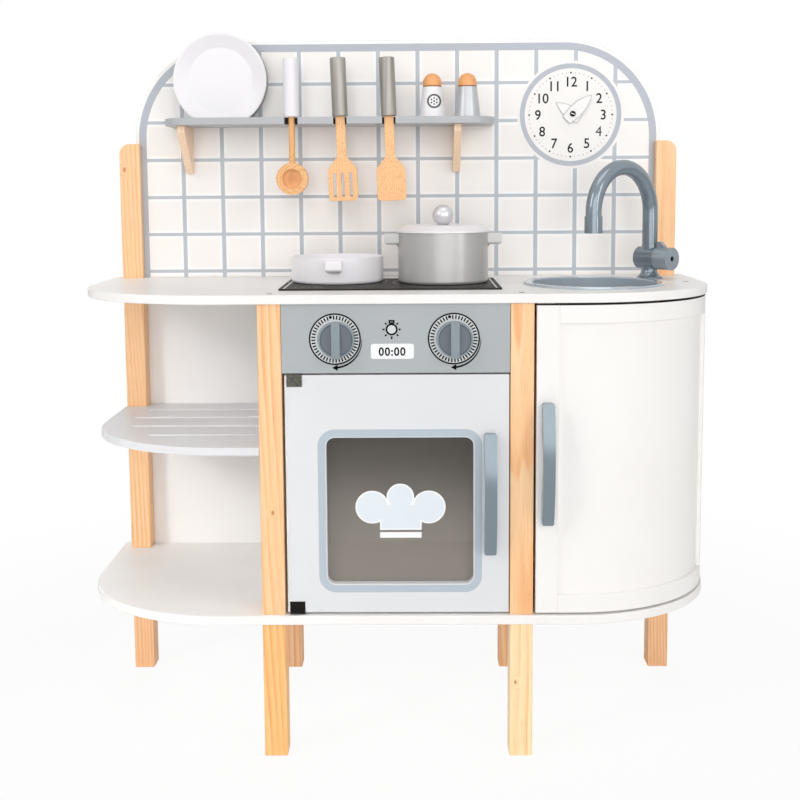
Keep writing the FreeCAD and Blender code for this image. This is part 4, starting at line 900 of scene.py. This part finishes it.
kept(lacquer("pearl white satin paint on turned wood", "FAF7FA", "F6F3F6", 0.32), "pan")
kept(satin_metal("silver satin paint on turned wood", "BEBDBB", "B4B3B1", 0.34), "pot")
kept(lacquer("pearl grey satin paint on turned wood", "F6F2F4", "F2EEF0", 0.32), "pot_lid")
kept(satin_metal("pale silver paint on turned ball", "D5D5D8", "CECED1", 0.33), "lid_knob")

# ---------------------------------------------------------------- narrow shelf
# Grey-lacquered board on two tapered pine brackets, slotted for two plates and notched for three
# hanging utensils. The inner faces of the notches are painted dark as the shade inside them.

rack_lacquer = lacquer("light grey satin lacquer", "BBBDC0", "B5B7BA", 0.3, shine=0.3)
# Painted shade: the dark finish on the notches' inner faces.
notch_shade = lacquer("dark painted shade in the notches", "4A4643", "3D3A38", 0.5)
rack_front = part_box("wall_shelf")[0].y
grips = [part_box(utensil + "_grip") for utensil in ("ladle", "slotted_turner", "turner")]


def in_notch(face):
    """Whether a face of the shelf is an inner face of a notch."""
    from_front = (face.center.y - rack_front) / MM
    return (abs(face.normal.z) < 0.5 and 0.5 < from_front < 40
            and any(low.x < face.center.x < high.x for low, high in grips))


eased("wall_shelf", "narrow_shelf", 0.9, rack_lacquer, notch_shade, in_notch)
eased("shelf_brackets", "shelf_bracket_pair", 0.8,
      timber("planed pale pine, brackets", (0.3, 0.12, 0.5), ("FFEAD2", "FFDFC0", "FFD2A8"),
             flecks=0.25))

# ---------------------------------------------------------------------- plates
# A white and a grey plate, turned from close-grained wood and sprayed with satin paint. They
# stand on edge in the slots of the narrow shelf.

white_paint = lacquer("white satin paint on turned wood", "F1EFF1", "EDEBED", 0.32)
kept(white_paint, "plate_white")
kept(lacquer("mid-grey satin paint on turned wood", "AEADA9", "A8A7A3", 0.34), "plate_grey")

# ------------------------------------------------------------------- utensils
# A ladle, a slotted turner and a turner: oiled beech blades glued into painted grips. Beech shows
# short dark flecks, and the hollow of the ladle shows the tree's red heart.

beech = timber("oiled beech", (0.4, 0.33, 0.2), ("FFD4A2", "FDC68D", "F5B274"), ring=2.6,
               flecks=1.0, roughness=0.45, dash=700.0)
low, high = corners("ladle_blade")
dish_radius = (high.x - low.x) / 2
DISH = (low.x + dish_radius, low.y, low.z + dish_radius, 11.0)
kept(timber("oiled beech ladle", (0.1, 0.4, 0.1), ("F6C78F", "EFB87B", "E3A063"), ring=2.6,
            knots=[DISH], flecks=0.9, roughness=0.45, dash=600.0, heart_tone="D2854A",
            knot_height=1.0), "ladle_blade")
eased("slotted_turner_blade", "slotted_turner_board", 0.7, beech)
eased("turner_blade", "turner_board", 0.7, beech)
kept(white_paint, "ladle_grip")
# Light and dark streaks on the grips: partly brush marks, partly painted highlights and
# reflections.
kept(satin_metal("warm silver paint on turned grips", "BBB6AF", "79746E", 0.34, along=True),
     "slotted_turner_grip", "turner_grip")

# -------------------------------------------------------------------- shakers
# Turned and painted bodies with domed beech caps. A brown band round the foot of each cap is
# painted shadow where the cap sits, and the white shaker has a ring of holes printed on its front.

kept(white_paint, "salt_body")
kept(satin_metal("silver satin paint on turned shaker", "C2C4C7", "BABCBF", 0.36), "pepper_body")
kept(timber("oiled beech caps", (0.2, 0.1, 0.6), ("FBBE80", "F2AB6B", "E09350"), ring=2.4,
            flecks=0.35, roughness=0.34, along="X"), "salt_cap", "pepper_cap")
cap_shadow_ink = ink("brown shadow band", "7E5138", "6E452F", 0.6)
GAP_HEIGHT, GAP_PROUD = 1.5, 0.1
for shaker in ("salt", "pepper"):
    low, high = corners(shaker + "_cap")
    middle = (low + high) / 2
    bpy.ops.mesh.primitive_cylinder_add(
        vertices=64, radius=((high.x - low.x) / 2 + GAP_PROUD) * MM, depth=GAP_HEIGHT * MM,
        location=(middle.x * MM, middle.y * MM, (low.z + GAP_HEIGHT / 2) * MM))
    band = rounded_off(place_here(bpy.context.object), shaker + "_cap_shadow_band", 0.3, cap_shadow_ink)
    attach(band, shaker)
mark_ink = ink("black shaker ink", "3F3D3B", "494745", 0.4)
low, high = corners("salt_body")
MARK_X, MARK_Z, MARK_FACE = (low.x + high.x) / 2 + 2.2, low.z + 20.3, low.y - 0.5
MARK_OUTER, MARK_INNER, HOLE_RING = 9.4, 7.1, 4.0
holes = [flat_ring(MARK_X, MARK_Z, MARK_FACE, MARK_OUTER, MARK_INNER, 64),
         flat_ring(MARK_X, MARK_Z, MARK_FACE, 1.3, 0, 16)]
for turn in range(0, 360, 60):
    lean = math.radians(turn)
    holes.append(flat_ring(MARK_X + HOLE_RING * math.sin(lean),
                           MARK_Z + HOLE_RING * math.cos(lean), MARK_FACE, 1.15, 0, 16))
mark = pick(*holes)
bpy.ops.object.join()
wrap = mark.modifiers.new("wrap", "SHRINKWRAP")
wrap.target = frame["nodes"]["salt_body"]
wrap.wrap_method = "PROJECT"
wrap.use_project_y = True
wrap.use_positive_direction = True
wrap.offset = 0.05 * MM
bpy.ops.object.modifier_apply(modifier=wrap.name)
printed("salt_holes_print", [mark], 0.12, mark_ink, "salt_body")

# ----------------------------------------------------------------- clock hands
# Two leaf-shaped hands cut from white plastic sheet, with their cut edges painted grey as shade.
# They turn on a dark steel pin with a domed head; a white line painted across the head is a
# highlight.

hand_plastic = moulded("white plastic sheet", "F4F2F1", "EFEDEC", 0.35)
# Painted shade: the grey on the edges of the hands.
edge_shade_grey = moulded("grey painted shade on the sheet's edges", "A5A2A1", "9A9796", 0.5)
for node, name in (("clock_hour_hand", "hour_hand_leaf"),
                   ("clock_minute_hand", "minute_hand_leaf")):
    eased(node, name, 0.55, hand_plastic, edge_shade_grey, lambda face: abs(face.normal.y) <= 0.98)
kept(blackened, "clock_pin")
# A white line across the pin's head is a painted highlight.
pin_highlight_line = flat_strip(PIN.x - 2.6, PIN.x + 2.6, PIN.z - 0.5, PIN.z + 0.5, pin_low.y - 0.02)
turned(math.radians(-22), PIN.x, PIN.z)
printed("clock_pin_highlight", [pin_highlight_line], 0.08, hat_white, "clock_pin")

# --------------------------------------------------------------------- screws
# Countersunk screws of zinc-plated steel, driven in until their heads lie flush with the boards
# and the rear posts.

kept(zinc, "assembly_screws")

# ------------------------------------------------------------ floor and lights
# A plain pale floor and a white surround. The camera sees both as white, and the floor keeps the
# kitchen's shadow near it. The kitchen is lit by a pale sky and large soft lamps.

floor_finish, tree, place = new_finish("plain pale floor")
seen = add(tree, "LightPath")
mottle = add(tree, "TexNoise", {"Vector": place, "Scale": 3.0, "Detail": 2.0})
pale = add(tree, "MixRGB", {"Fac": mottle, "Color1": srgb("FBFBFB"), "Color2": srgb("F7F7F7")})
# The share of plain white grows from 0.9 near the kitchen to 1 far from it.
matt = add(tree, "BsdfDiffuse", {"Color": pale})
glow = add(tree, "Emission", {"Color": (1, 1, 1, 1), "Strength": 1.0})
away = add(tree, "VectorMath", {0: place}, operation="LENGTH").outputs["Value"]
fade = add(tree, "MapRange", {"Value": away, "From Min": 0.5, "From Max": 1.2, "To Min": 0.9,
                              "To Max": 1.0}, interpolation_type="SMOOTHSTEP")
share = add(tree, "Math", {0: seen.outputs["Is Camera Ray"], 1: fade}, operation="MULTIPLY")
both = add(tree, "MixShader", {0: share, 1: matt, 2: glow})
add(tree, "OutputMaterial", {"Surface": both})
bpy.ops.mesh.primitive_plane_add(size=30.0)
floor = bpy.context.object
floor.name = "floor"
floor.data.materials.append(floor_finish)

world = bpy.data.worlds.new("white surround")
bpy.context.scene.world = world
world.use_nodes = True
tree = world.node_tree
tree.nodes.clear()
seen = add(tree, "LightPath")
shown = add(tree, "Math", {0: seen.outputs["Is Camera Ray"], 1: seen.outputs["Is Glossy Ray"]},
            operation="MAXIMUM")
shown = add(tree, "Math", {0: shown, 1: seen.outputs["Is Transmission Ray"]}, operation="MAXIMUM")
level = add(tree, "MapRange", {"Value": shown, "To Min": 0.3, "To Max": 1.0})
sky = add(tree, "Background", {"Color": (1, 1, 1, 1), "Strength": level})
add(tree, "OutputWorld", {"Surface": sky})

KITCHEN, OPEN_BAY = (0, 0, 0.45), (-0.28, 0, 0.22)
for name, spot, aim, beam, wide, high, power in (
        ("front lamp", (0.4, -6.0, 1.6), KITCHEN, 180, 5.5, 4.0, 137.0),
        ("left strip", (-2.0, -1.6, 1.9), KITCHEN, 180, 0.8, 1.4, 16.0),
        ("right strip", (1.7, -1.7, 1.2), KITCHEN, 180, 0.5, 1.7, 12.0),
        ("top lamp", (0.1, -0.6, 2.6), KITCHEN, 180, 1.6, 1.0, 10.0),
        ("back lamp", (-0.6, 5.0, 2.4), KITCHEN, 180, 4.0, 3.0, 95.0),
        ("bay lamp", (-1.6, -1.2, 1.2), OPEN_BAY, 22, 0.3, 0.3, 0.2)):
    bpy.ops.object.light_add(type="AREA", location=spot)
    lamp_object = bpy.context.object
    lamp_object.name = name
    lamp_object.data.shape = "RECTANGLE"
    lamp_object.data.size = wide
    lamp_object.data.size_y = high
    lamp_object.data.energy = power
    lamp_object.data.spread = math.radians(beam)
    # Seen at a low angle, the back lamp's reflection would whiten the boards.
    lamp_object.visible_glossy = name != "back lamp"
    along = Vector(aim) - Vector(spot)
    lamp_object.rotation_euler = along.to_track_quat("-Z", "Y").to_euler()

scene = bpy.context.scene
scene.view_settings.view_transform = "Standard"
# The camera looks a little down, a little to one side, and is turned slightly about its view.
TILT, HEADING, ROLL = 0.102, -0.0112, 0.0066
across = Vector((math.cos(HEADING), -math.sin(HEADING), 0))
ahead = Vector((math.sin(HEADING), math.cos(HEADING), 0))
upward = math.sin(TILT) * ahead + math.cos(TILT) * Vector((0, 0, 1))
forward = math.cos(TILT) * ahead - math.sin(TILT) * Vector((0, 0, 1))
right = math.cos(ROLL) * across - math.sin(ROLL) * upward
top = math.sin(ROLL) * across + math.cos(ROLL) * upward
bpy.ops.object.camera_add(location=(0, 0, 0))
camera = bpy.context.object
camera.name = "camera"
stand = Vector((0.0197, -1.4022, 0.6814))
camera.matrix_world = Matrix(((right.x, top.x, -forward.x, stand.x),
                              (right.y, top.y, -forward.y, stand.y),
                              (right.z, top.z, -forward.z, stand.z), (0, 0, 0, 1)))
camera.data.sensor_width = 36.0
camera.data.lens = 50.09
camera.data.shift_y = -0.125  # drops the frame, so that the legs' feet are in view
scene.camera = camera
